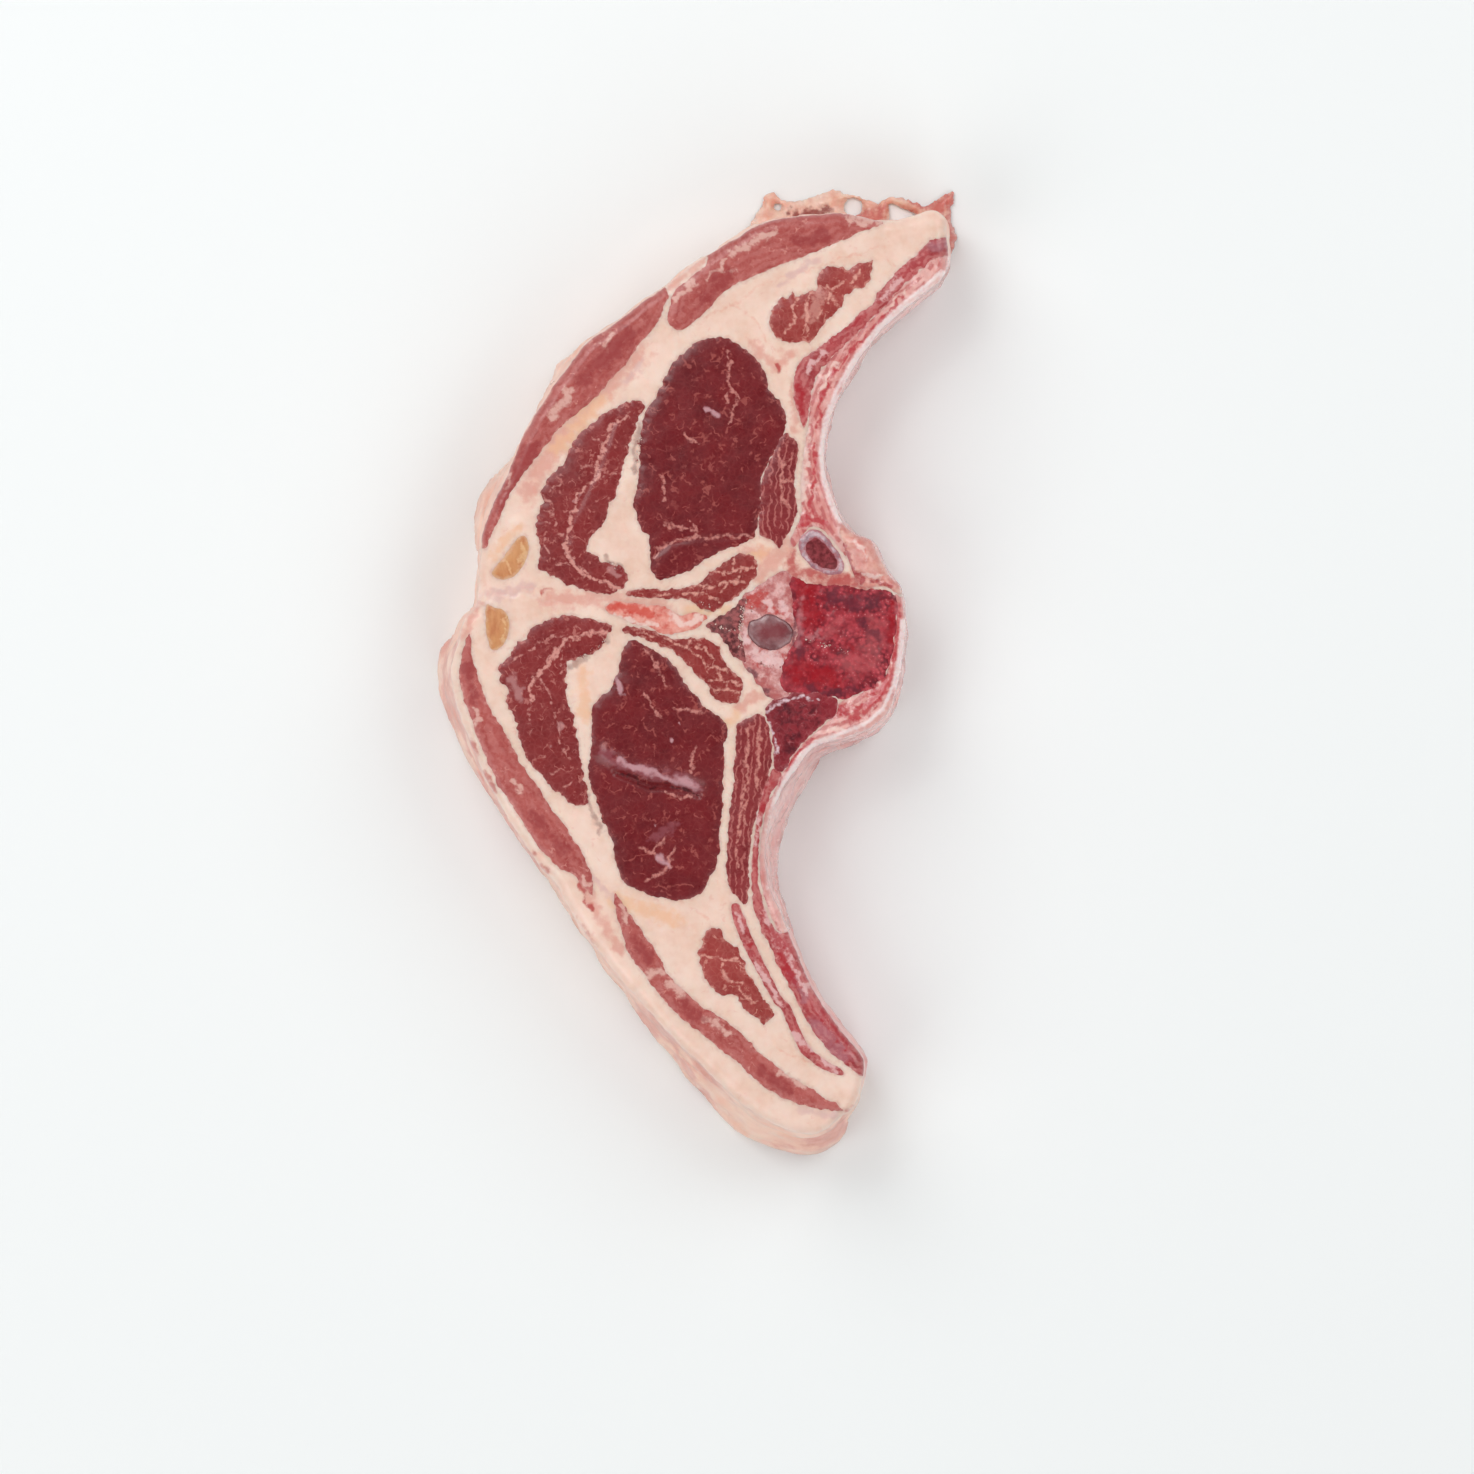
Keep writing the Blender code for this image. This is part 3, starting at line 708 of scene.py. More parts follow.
material, tree, place = wet_material("Spur marrow", 0.3, 0.45, 0.25, 1.0, bump=0.5, grain_size=0.6)
bright = clouds(tree, place, 1.6, 0.16, 8.0)
fleck = clouds(tree, place, 0.8, 0.12, 10.0)
colour = blend(tree, bright, shade(212, 106, 94), shade(234, 160, 146))
colour = over(tree, colour, (fleck, 0.35, shade(238, 190, 176)))
colour = stained(
    tree, place, colour, ("ember", 24.0, 0.8, shade(208, 76, 64)),
    ("pale", 25.0, 0.85, shade(240, 208, 198)),
)
paint(tree, colour)
SPUR = [
    (-15.2, 11), (-14.3, 12), (-11.5, 12), (-9, 11.7), (-5, 10.9), (-2.6, 10), (-0.6, 10.4), (1.2, 9.9),
    (0.6, 8.6), (-2.2, 7.4), (-5, 6.9), (-7.2, 7.7), (-10, 8.5), (-13, 9.6),
]
raise_tissue(
    "spur_marrow", "backbone", SPUR, (0.35, 1.5, 18), material, crown=0.1,
    layers={
        "ember": [(0.8, [(-14, 11.1), (-10.5, 10.9), (-8, 10)])],
        "pale": [(0.45, [(-14, 9.9), (-10, 8.8), (-7, 8.3)]), (0.9, [(-4.6, 9.6), (-2, 8.8), (0, 9.4)])],
    },
)

material, tree, place = wet_material("Canal gristle", 0.3, 0.5, 0.25, 1.0, bump=0.7, grain_size=0.7)
pearly = clouds(tree, place, 1.5, 0.15, 12.0)
vein = clouds(tree, place, 0.9, 0.1, 13.0)
colour = blend(tree, pearly, shade(188, 112, 110), shade(226, 178, 174))
colour = over(tree, colour, (vein, 0.35, shade(168, 62, 62)))
# The pale strokes are white bits of gristle, with painted highlights on those round the canal's top.
colour = stained(
    tree, place, colour, ("raw", 26.0, 0.85, shade(186, 62, 58), 0.8),
    ("pale", 27.0, 0.85, shade(234, 196, 194), 0.9), ("dusky", 28.0, 0.8, shade(116, 66, 74), 0.8),
)
paint(tree, colour)
CANAL_GRISTLE = [
    (6.9, 13.2), (8.6, 14.2), (10.6, 15.6), (13.2, 16.9), (14.8, 16.4), (15.4, 12), (16, 9), (15.4, 5),
    (14.2, 2.6), (13.6, -1.2), (14.4, -3), (11.4, -3.6), (9.6, -1.2), (8, 0.6), (6.6, 2.6), (7, 5),
    (6.4, 8), (6.9, 11),
]
raise_tissue(
    "canal_gristle", "backbone", CANAL_GRISTLE, (0.3, 1.8, 19), material, crown=0.1,
    relief=lambda plan: 0.18 * ripple(plan, 1.8, 20, 3),
    layers={
        "raw": [
            (1.5, [(7.8, 12), (10, 12.9)]), (0.9, [(11, 11.2), (14, 10.4)]),
            (0.7, [(8.2, 2.6), (9.8, 1.9)]), (0.8, [(13.6, 3), (13.4, -1)]),
        ],
        # White gristle bits, the upper ones with painted highlights.
        "pale": [
            (0.55, [(8.2, 10.6), (9.4, 9.9)]), (0.8, [(10.8, 12), (11.2, 11.2)]),
            (0.8, [(13.4, 11.4), (14.2, 10.2)]), (1.6, [(9.2, 3.2), (12.6, 2.4)]),
            (0.5, [(7.3, 8), (7.2, 5.4)]),
        ],
        "dusky": [
            (0.7, [(9.4, -1.6), (11, -2.6)]), (0.5, [(15.3, 9), (15, 5.6)]), (0.6, [(7.6, 1), (9, 0.2)]),
        ],
    },
)


# ----------------------------------------------------------
# Gristle knob
#
# Beside the rib's head a soft knob of peach fat and gristle bulges out of the cavity's wall, glossy and
# faintly veined.

# The skin over the slice's outer wall: thin pale membrane, cream and peach over the back fat, pinker and
# veined along the cavity, with streaks that run along the wall.
skin_group, give, result = new_group(
    "Outer skin", {"Cavity Side": 0.0, "Flesh": 0.0}, "Tone", "NodeSocketColor",
)
lying = places(skin_group, "MULTIPLY", {0: give["Place"], 1: (0.5, 0.5, 1.0)})
broad = clouds(skin_group, give["Place"], 6.5, 0.22, 80.0)
mottled = clouds(skin_group, give["Place"], 1.8, 0.25, 81.0)
streak = clouds(skin_group, lying, 2.0, 0.2, 82.0)
off_vessel = maths(
    skin_group, "ABSOLUTE", maths(skin_group, "SUBTRACT", grain(skin_group, give["Place"], 0.11), 0.5),
)
supplied = clouds(skin_group, give["Place"], 5.0, 0.08, 83.0)
vessel = maths(skin_group, "MULTIPLY", between(skin_group, off_vessel, 0.035, 0.0), supplied)
torn = clouds(skin_group, give["Place"], 6.5, 0.16, 85.0)
drift = clouds(skin_group, give["Place"], 8.0, 0.3, 86.0)
bare = between(skin_group, swayed(skin_group, give["Flesh"], torn, 1.5, 0.55), 0.2, 1.1)
reach = between(skin_group, swayed(skin_group, give["Flesh"], drift, 0.8), 0.1, 0.95)
bare = maths(skin_group, "MULTIPLY", bare, reach)
outer_tone = blend(skin_group, broad, shade(242, 183, 158), shade(252, 214, 193))
inner_tone = blend(skin_group, broad, shade(229, 152, 147), shade(250, 208, 201))
outer_tone = over(
    skin_group, outer_tone, (mottled, 0.25, shade(253, 224, 207)), (streak, 0.22, shade(230, 158, 142)),
    (vessel, 0.16, shade(206, 108, 98)),
    (bare, 0.6, blend(skin_group, mottled, shade(204, 104, 96), shade(226, 148, 138))),
)
inner_tone = over(
    skin_group, inner_tone, (mottled, 0.22, shade(204, 118, 118)), (streak, 0.35, shade(250, 224, 220)),
    (vessel, 0.22, shade(190, 84, 92)),
)
skin_group.links.new(blend(skin_group, give["Cavity Side"], outer_tone, inner_tone), result)


def skinned(tree, colour, cover=0.96, patchy=0.12):
    """The tissue's colour on the cut face, and the skin over it down the outer wall."""
    place = places(tree, "SCALE", {0: add(tree, "ShaderNodeTexCoord").outputs["Object"], "Scale": 1000.0})
    skin = use(
        tree, skin_group, place, cavity_side=layer(tree, "cavity_side"), flesh=layer(tree, "flesh_wall"),
    )
    worn = clouds(tree, place, 3.0, 0.2, 84.0)
    below = between(tree, swayed(tree, layer(tree, "rim_gap"), worn, 1.6), -0.5, -2.4)
    thin = maths(tree, "MULTIPLY_ADD", worn, patchy, cover - patchy)
    return over(tree, colour, (below, thin, skin))


material, tree, place = wet_material("Gristle", 0.26, 0.55, 0.35, 1.6, bump=0.5, grain_size=1.2)
cloudy = clouds(tree, place, 2.2, 0.2, 15.0)
vein = clouds(tree, place, 1.4, 0.1, 16.0)
colour = blend(tree, cloudy, shade(208, 136, 128), shade(232, 184, 170))
colour = over(tree, colour, (vein, 0.3, shade(204, 96, 88)))
colour = stained(
    tree, place, colour, ("raw", 29.0, 0.85, shade(168, 56, 64)),
    ("pale", 30.0, 0.7, shade(242, 216, 208)),
)
paint(tree, skinned(tree, colour, 0.85, 0.2))
KNOB = [
    (22.6, 24), (23, 21.6), (23.6, 19.4), (24.4, 17.2), (25.4, 15.2), (27, 14.5), (29.6, 14.6), (32, 13.4),
    (36, 12.6), (37, 17), (32, 22), (28, 26), (24.4, 27),
]
raise_tissue(
    "gristle", "gristle_knob", KNOB, (0.2, 2.0, 21), material, crown=0.35,
    relief=lambda plan: 0.9 * strokes((1.9, [(26, 21), (27.4, 18.6)]))(plan)
        - 0.5 * strokes((0.6, [(24, 17.8), (26, 16), (29, 15.4)]))(plan),
    layers={
        "raw": [(0.7, [(23.2, 21), (24.6, 17.4), (26, 15.4)]), (0.5, [(27.6, 15.6), (31, 14.4)])],
        "pale": [(0.6, [(25, 21.6), (26.4, 19.6)]), (0.5, [(26, 16.6), (28.6, 16.4)])],
    },
)


# ----------------------------------------------------------
# Neck ligaments
#
# Two strips of tan elastic ligament run along the top of the back, one each side of the middle. Cut
# across, they are firm, faintly grained and a little drier than the fat.

material, tree, place = wet_material("Ligament", 0.36, 0.3, 0.3, 1.2, bump=0.3)
streaky = places(tree, "MULTIPLY", {0: place, 1: (1.0, 0.35, 1.0)})
strand = clouds(tree, streaky, 0.8, 0.2, 17.0)
broad = clouds(tree, place, 3.0, 0.2, 18.0)
edge = follow(tree, line_group, place, "border_gap", half_width=0.25, softness=0.35)
colour = blend(tree, strand, shade(191, 119, 79), shade(209, 147, 101))
colour = over(tree, colour, (broad, 0.5, shade(220, 168, 116)))
colour = stained(tree, place, colour, ("pale", 92.0, 0.6, shade(234, 194, 150), 0.6))
colour = over(tree, colour, (edge, 0.7, shade(226, 180, 150)))
paint(tree, colour)
LIGAMENTS = {
    "left": [
        (-33.6, 16.6), (-32.6, 18.2), (-31.3, 19.8), (-30.2, 21.4), (-29, 22.7), (-28.1, 22.6),
        (-27.7, 21), (-28.1, 18.8), (-29, 17.2), (-30.2, 16.1), (-32, 15.8),
    ],
    "right": [
        (-34.4, 11.7), (-33.4, 11.3), (-31.8, 10.8), (-31, 9.6), (-30.7, 8.2), (-31, 6.5), (-32, 5),
        (-33, 4.3), (-34, 5), (-34.4, 7), (-34.6, 9.5),
    ],
}
PALE_STREAKS = [
    (0.4, [(-28.6, 22), (-28.6, 18.6)]), (0.3, [(-31.4, 10), (-31.6, 6)]),
    (0.3, [(-31.6, 18.8), (-30.2, 16.8)]),
]
for side, outline in LIGAMENTS.items():
    raise_tissue(
        "ligament_strip_" + side, "ligament_" + side, outline, (0.18, 1.5, 22), material,
        crown=0.15, layers={"pale": PALE_STREAKS},
    )


# ----------------------------------------------------------
# Eye muscles
#
# The two large dark muscles of the loin, cut straight across. Bundles of fibre show as a fine cellular
# grain, with short pale threads of marbling between them. A slip of muscle lies along the foot of the
# left one behind a seam, and a flap of silvery skin folds over the right one. The fold's ridge has a
# painted highlight and a lilac painted sheen, and the crease at its foot a painted shadow.

# Threads of marbling: thin curved lines that start and stop, 1 on a thread and 0 elsewhere.
marbling_group, give, result = new_group(
    "Marbling", {"Reach": 3.0, "Thread Width": 0.03, "Cover": 0.5, "Seed": 0.0}, "Mask",
)
start = moved(marbling_group, give["Place"], give["Seed"])
wander = grain(marbling_group, start, 0.5, output="Color")
bent = places(marbling_group, "MULTIPLY_ADD", {0: wander, 1: (2.4, 2.4, 0.4), 2: start})
threads = grain(marbling_group, bent, maths(marbling_group, "DIVIDE", 1.0, give["Reach"]), 2.5, 0.55)
off_line = maths(marbling_group, "ABSOLUTE", maths(marbling_group, "SUBTRACT", threads, 0.5))
core = maths(marbling_group, "MULTIPLY", give["Thread Width"], 0.25)
gate = grain(marbling_group, moved(marbling_group, start, 40.0), 0.62)
gate_low = maths(marbling_group, "SUBTRACT", 0.72, maths(marbling_group, "MULTIPLY", give["Cover"], 0.4))
gate = between(marbling_group, gate, gate_low, maths(marbling_group, "ADD", gate_low, 0.09))
on_thread = between(marbling_group, off_line, give["Thread Width"], core)
marbling_group.links.new(maths(marbling_group, "MULTIPLY", on_thread, gate), result)

# Bundles of fibre seen end on: 0 in the middle of a bundle, rising to 1 at its thin sheath.
bundle_group, give, result = new_group("Bundles", {"Bundle Size": 1.2, "Seed": 0.0}, "Sheath")
shaken = grain(bundle_group, give["Place"], 1.1, 1.0, output="Color")
start = moved(bundle_group, give["Place"], give["Seed"])
spot = places(bundle_group, "MULTIPLY_ADD", {0: shaken, 1: (0.9, 0.9, 0.1), 2: start})
cells = add(
    bundle_group, "ShaderNodeTexVoronoi",
    {"Vector": spot, "Scale": maths(bundle_group, "DIVIDE", 1.0, give["Bundle Size"])},
    feature="DISTANCE_TO_EDGE",
)
bundle_group.links.new(between(bundle_group, cells.outputs["Distance"], 0.13, 0.01), result)


def lean_material(
    name, deep, full, pale, thread, marbling, reach, sheath, ragged, contrast, seed, thread_width=0.035,
):
    """Cut lean meat: deep, full and pale reds in clouds, sheaths, marbling threads and a ragged edge."""
    material, tree, place = wet_material(name, 0.34, 0.28, 0.14, 0.9, bump=0.45, grain_size=0.7)
    fine = use(
        tree, marbling_group, place, reach=reach * 0.45, thread_width=thread_width * 1.5,
        cover=marbling * 0.8, seed=seed + 5.0,
    )
    threads = use(
        tree, marbling_group, place, reach=reach, thread_width=thread_width, cover=marbling, seed=seed,
    )
    edge = follow(
        tree, line_group, place, "border_gap", half_width=0.02, softness=0.25, fray=ragged, fray_size=0.8,
    )
    colour = blend(tree, clouds(tree, place, 7.0, 0.2, seed + 1.0), deep, full)
    colour = over(
        tree, colour, (clouds(tree, place, 0.5, 0.2, seed + 3.0), 0.22, pale),
        (clouds(tree, place, 1.8, 0.22, seed + 2.0), 0.4, pale),
        (use(tree, bundle_group, place, bundle_size=1.15, seed=seed), sheath, thread),
        (fine, 0.5 * contrast, thread), (threads, contrast, thread), (edge, 0.6, thread),
    )
    return material, tree, place, colour


def add_seams(tree, place, colour, fat, half_width=0.22, fray=0.22):
    """Seams of fat along the drawn lines of a muscle."""
    seam = follow(
        tree, line_group, place, "seam_gap", half_width=half_width, softness=0.2, fray=fray, fray_size=0.6,
    )
    return over(tree, colour, (seam, 0.9, fat))


def seam_gap(*seams):
    """Distance to the nearest of the drawn seams, which waver as they run."""
    def gap_of(plan):
        plan = wavering(plan, 0.55, 1.3, 63)
        return np.min([line_distance(plan, seam) for seam in seams], 0)
    return gap_of


eye_lean, tree, place, colour = lean_material(
    "Eye lean", shade(96, 18, 26), shade(114, 27, 33), shade(130, 42, 46), shade(172, 90, 84),
    marbling=0.56, reach=3.0, sheath=0.08, ragged=0.35, contrast=0.6, seed=3.0, thread_width=0.034,
)
colour = add_seams(tree, place, colour, shade(202, 132, 124), half_width=0.18)
# Over the lean go a lilac painted sheen, which on the fold also tints its skin, pale silverskin with
# painted highlights on the fold's ridge, and a dark painted shadow in the creases.
colour = stained(
    tree, place, colour, ("mauve", 32.0, 0.6, shade(150, 82, 90), 0.9),
    ("silver", 33.0, 0.75, shade(206, 158, 164), 1.6, 0.3, 0.8),
    ("crease", 34.0, 0.75, shade(66, 18, 24), 0.8, 0.45, 0.75),
)
paint(tree, colour)

EYE_LEFT = [
    (2.5, 54.8), (5, 54.3), (7, 53.1), (8.8, 51.6), (10, 50), (10.8, 48), (11.6, 46), (12.8, 44.6),
    (13.8, 43), (14, 41), (13.2, 39), (12.4, 37.4), (11.7, 36), (10.9, 34.4), (10.2, 33), (9.9, 31),
    (9.9, 29), (9.7, 27), (9.4, 25.4), (9, 24), (8.6, 22.6), (6.6, 21.4), (4, 20.5), (2, 19.6), (0, 18.3),
    (-2, 17.1), (-4, 16.3), (-6, 15.8), (-7.2, 16), (-7.8, 17.5), (-7.9, 19.5), (-8.2, 22.6), (-9.2, 23.5),
    (-10, 24.6), (-10.4, 26.2), (-10.7, 28), (-10, 31), (-9.7, 33.5), (-9.7, 37), (-9.5, 39.4),
    (-9.2, 41.4), (-8.6, 43), (-7.2, 45), (-6.3, 46.6), (-5.8, 48), (-4.8, 50), (-3.3, 51.7), (-1, 53.6),
    (0.6, 54.5),
]
raise_tissue(
    "eye_lean_left", "eye_muscle_left", EYE_LEFT, (0.32, 1.2, 23), eye_lean, crown=0.32,
    relief=lambda plan: -0.2 * np.exp(
        -(line_distance(plan, [(-7.4, 19.6), (-5, 21.5), (-1, 22.4), (8, 22.5)]) / 0.5) ** 2
    ),
    layers={
        "seam_gap": seam_gap(
            [
                (-7.6, 19.2), (-6.4, 20.7), (-5, 21.5), (-3.5, 22), (-1, 22.4), (2, 22.6), (5, 22.8),
                (8.4, 22.5),
            ],
            [(-0.4, 22.6), (-0.8, 24.4), (-1.6, 25.4)], [(-1, 23.7), (-3.6, 24.2), (-5.6, 24.6)],
            [(4.6, 52.4), (4.8, 50.5), (4.3, 48.6), (4.9, 46.5), (4.2, 44)],
            [(5.8, 44.6), (5.1, 42.4), (5, 41)], [(4.9, 46.6), (6.4, 45.2)],
            [(-2.4, 39), (-1.4, 38.2), (-0.4, 37.8)], [(-6, 32.6), (-5.8, 30.4), (-5.9, 28.6)],
        ),
        # On the left eye a pale fleck carries a lilac painted sheen, and a painted shadow darkens the
        # crease by the seam.
        "silver": [(0.5, [(1.2, 43.4), (3, 42)])],
        "mauve": [(0.5, [(1, 43.6), (3.4, 41.8)])],
        "crease": [(0.35, [(-8.2, 20.2), (-8.3, 21.6)])],
    },
)

EYE_RIGHT = [
    (-11, 6), (-9.3, 5.5), (-7.5, 4.2), (-5.5, 3), (-3.8, 1.2), (-3, -0.3), (-1.8, -1.8), (-0.3, -3.5),
    (1, -5), (2.8, -6.2), (4, -7.2), (4.5, -8.5), (4.3, -10), (3.7, -12), (3.9, -14), (3.8, -18),
    (3.3, -23), (3.1, -27), (2.6, -30.4), (1.7, -32.2), (0.8, -33.8), (0, -35), (-1.5, -35.7), (-3.5, -36),
    (-6, -35.6), (-8.5, -34.9), (-10.5, -34.2), (-12.2, -33), (-13.1, -31.4), (-13.8, -29), (-14.3, -26),
    (-15, -24.5), (-16, -22), (-16.7, -19.5), (-17.5, -18), (-17.9, -15), (-17.6, -12), (-17.5, -9),
    (-17.3, -5), (-16.3, -3.5), (-15.3, -2.6), (-14.2, -1.4), (-13.7, 0.2), (-13, 1.7), (-12.5, 3.6),
    (-11.9, 5.2),
]
SILVER_FOLD = [(-15.2, -12.4), (-12.4, -14.2), (-9.6, -15.2), (-6.4, -15.8), (-3, -16.6), (-0.8, -17.8)]
FOLD_FOOT = [(-13.4, -15.4), (-10.6, -16.6), (-8, -17.6), (-5.4, -17.6), (-2.6, -18.1), (-0.4, -19)]
raise_tissue(
    "eye_lean_right", "eye_muscle_right", EYE_RIGHT, (0.32, 1.2, 24), eye_lean, crown=0.32,
    relief=lambda plan: (
        0.55 * np.exp(-(line_distance(plan, SILVER_FOLD) / 1.5) ** 2)
            - 0.75 * np.exp(-(line_distance(plan, FOLD_FOOT) / 0.55) ** 2)
    ),
    layers={
        "seam_gap": seam_gap(
            [(-9, 4.6), (-7.4, 3), (-6.6, 0.6), (-5.4, -1.4)], [(-4.2, -5.2), (-2.2, -5.3), (0.4, -5.6)],
            [(-9.6, -27.4), (-7, -28.8), (-4.8, -30.4)], [(-8.8, -33), (-5.6, -31), (-4, -27.6)],
            [(-7.6, -28.6), (-5.8, -26.2)], [(-5.4, -18.6), (-4, -19.2), (-1.6, -19.4)],
            [(-9, -2.6), (-8, -4.6), (-6.4, -6.4)], [(-0.6, -11), (-1.6, -13.4), (-1.2, -15.4)],
        ),
        # Pale silverskin, with a painted highlight along the fold's ridge.
        "silver": [
            (0.75, [(-12.8, -13.4), (-10.6, -14.7)]), (0.65, [(-10.4, -14.8), (-5, -16)]),
            (0.9, [(-4.4, -16.4), (-1.2, -17.6)]), (0.6, [(-13.6, -0.6), (-12.4, -2.6)]),
            (0.8, [(-6.6, -29), (-5, -30)]), (0.35, [(-7.4, -23.5)]), (0.35, [(-3.4, -7.6)]),
            (0.35, [(-4.6, -10)]), (0.3, [(-2.6, -8.8)]),
        ],
        # A lilac painted sheen over the fold, tinting its skin.
        "mauve": [(1.2, SILVER_FOLD), (0.9, [(-8, -26), (-4, -24)])],
        # Painted shadow in the creases at the fold's foot and along the eye's edge.
        "crease": [
            (0.5, [(-12.6, -15.8), (-10, -16.9)]), (0.35, FOLD_FOOT[2:]),
            (0.4, [(-17.4, -19), (-15.4, -24)]),
        ],
    },
)


# ----------------------------------------------------------
# Cap muscles
#
# A curved muscle wraps the outer side of each eye. It is in several strips, with seams of fat between
# them that branch like a leaf's veins, and its inner edge frays into the fat.

cap_lean, tree, place, colour = lean_material(
    "Cap lean", shade(114, 28, 32), shade(132, 40, 42), shade(152, 64, 63), shade(198, 124, 116),
    marbling=0.52, reach=2.6, sheath=0.08, ragged=0.5, contrast=0.6, seed=13.0, thread_width=0.034,
)
colour = add_seams(tree, place, colour, shade(216, 152, 142), half_width=0.26, fray=0.3)
twig = follow(tree, line_group, place, "twig_gap", half_width=0.10, softness=0.16, fray=0.25)
colour = over(tree, colour, (twig, 0.8, shade(206, 142, 134)))
colour = stained(tree, place, colour, ("silver", 35.0, 0.6, shade(196, 142, 140), 1.2, 0.3, 0.8))
paint(tree, colour)

CAP_LEFT = [
    (-9.8, 44.4), (-11.5, 44.5), (-13.5, 43.7), (-15, 42.8), (-17, 41.3), (-18.5, 40), (-19.8, 38.6),
    (-21, 36.8), (-21.8, 35), (-22.7, 33.8), (-24, 32.6), (-24.9, 31.5), (-25.5, 30), (-25.6, 28.3),
    (-26.2, 26.3), (-26.6, 25), (-26.5, 23.5), (-26, 22), (-25.7, 20.5), (-26, 19), (-26, 17.8),
    (-25, 16.8), (-23, 15.8), (-21, 14.8), (-19, 14.1), (-17, 13.6), (-15, 13.4), (-13.2, 13.7),
    (-12, 14.8), (-11.6, 16), (-12, 17), (-13, 17.9), (-14.5, 18.3), (-16, 18.7), (-17, 19.7),
    (-18.5, 20.3), (-17.8, 21.8), (-17, 23.3), (-16, 24.3), (-15.2, 25.5), (-14.9, 27.5), (-14, 29),
    (-13.3, 30.5), (-12.8, 32.5), (-12.2, 34.5), (-11.7, 36), (-11.1, 38), (-10.6, 39.7), (-10.2, 41.2),
    (-9.5, 42.5), (-9.1, 43.6),
]
raise_tissue(
    "cap_lean_left", "cap_muscle_left", CAP_LEFT, (0.42, 0.9, 25), cap_lean, crown=0.28,
    relief=lambda plan: -0.18 * np.exp(
        -(line_distance(plan, [(-14, 41), (-16, 35), (-20.8, 25), (-21.7, 21), (-17.5, 16)]) / 0.6) ** 2
    ),
    layers={
        "seam_gap": seam_gap(
            [
                (-12, 41.8), (-13.8, 41), (-14.7, 39), (-15.3, 37), (-16.2, 34.5), (-16.7, 32),
                (-18.5, 30.5), (-19.8, 29), (-20.2, 27), (-20.8, 25), (-21.5, 23), (-21.7, 21),
                (-20.8, 19), (-19.5, 17.3), (-17.5, 16), (-15, 15), (-12.8, 14.3),
            ]
        ),
        "twig_gap": seam_gap(
            [(-24.8, 29.5), (-24, 27.5), (-23.4, 25.5), (-23, 23.5), (-21.8, 22)],
            [(-26, 24.9), (-24, 24.8)], [(-25.5, 22.5), (-24.5, 20.5), (-23.2, 18.4), (-21, 18.1)],
            [(-19, 33.8), (-16.5, 33.8)], [(-17, 31.5), (-14.5, 32.5), (-13.7, 33.3)],
            [(-22.6, 31.2), (-24.2, 30)], [(-14.9, 39.4), (-13.2, 41)], [(-25.2, 27), (-23.6, 26.2)],
            [(-17.4, 38.6), (-16.2, 38), (-15.2, 37.4)], [(-12.6, 41.4), (-11.2, 42.6)],
        ),
        "silver": [(0.6, [(-14.6, 17.4), (-13, 16.2)]), (0.35, [(-20.4, 28.6), (-19.4, 29.4)])],
    },
)

CAP_RIGHT = [
    (-14.3, 8.2), (-16, 8.8), (-18, 9.4), (-20, 9.8), (-22, 9.9), (-24, 9.4), (-26, 8.4), (-27.3, 7.5),
    (-28, 6.3), (-29.6, 5.2), (-30.3, 3.8), (-31.8, 2.4), (-32.4, 1.2), (-32, -0.8), (-31, -2),
    (-31.3, -3.5), (-30.5, -5.5), (-29.8, -7), (-29.3, -9), (-28.7, -11), (-28, -13), (-26.8, -14.5),
    (-25.3, -16.2), (-24, -17.8), (-22.5, -18.9), (-21, -20.2), (-19.5, -20.7), (-18.1, -20.2),
    (-18.2, -18.5), (-18.6, -16.5), (-19, -14.5), (-19.6, -11), (-20, -8.5), (-20.4, -6.4), (-21.2, -4.6),
    (-21.6, -2.5), (-21.6, 0.5), (-21.4, 2.2), (-20, 3), (-18, 3.5), (-16.2, 4.4), (-15.7, 5.7),
    (-14.8, 6.9),
]
raise_tissue(
    "cap_lean_right", "cap_muscle_right", CAP_RIGHT, (0.42, 0.9, 26), cap_lean, crown=0.28,
    layers={
        "seam_gap": seam_gap(
            [
                (-15, 7.2), (-17, 7), (-20, 6.5), (-21.8, 5.8), (-23, 4.5), (-24, 2.5), (-25.5, 1),
                (-27, -0.5), (-27.5, -2), (-27, -4),
            ]
        ),
        "twig_gap": seam_gap(
            [(-20.5, 6.9), (-24, 6.3), (-26, 5.2), (-28, 3.8), (-30.5, 2.3)],
            [(-27.2, -3.6), (-27.7, -5.5), (-27.5, -8), (-27.7, -9.5)],
            [(-26, 0), (-25.2, -1.5), (-24, -3), (-24.3, -4.5)],
            [(-23.3, -6), (-22.5, -9), (-22.3, -11), (-21.5, -12.5), (-20.5, -13.3)],
            [(-25, 1.8), (-24, 3.4)], [(-26.6, -13), (-24.6, -12.6)], [(-24.2, -15.8), (-22.4, -14.8)],
            [(-22, -17.6), (-20.6, -16.8)], [(-22, 4.8), (-22.6, 2.4), (-22.2, 0.4)],
        ),
        "silver": [
            (1.0, [(-30.4, -0.4), (-29, -3.4)]), (0.5, [(-22.8, -7.4), (-22.4, -8.6)]),
            (0.3, [(-24, -11.4)]),
        ],
    },
)


# ----------------------------------------------------------
# Spine muscles
#
# Small muscles lie each side of the spur, split into bundles with as much fat between them as lean.

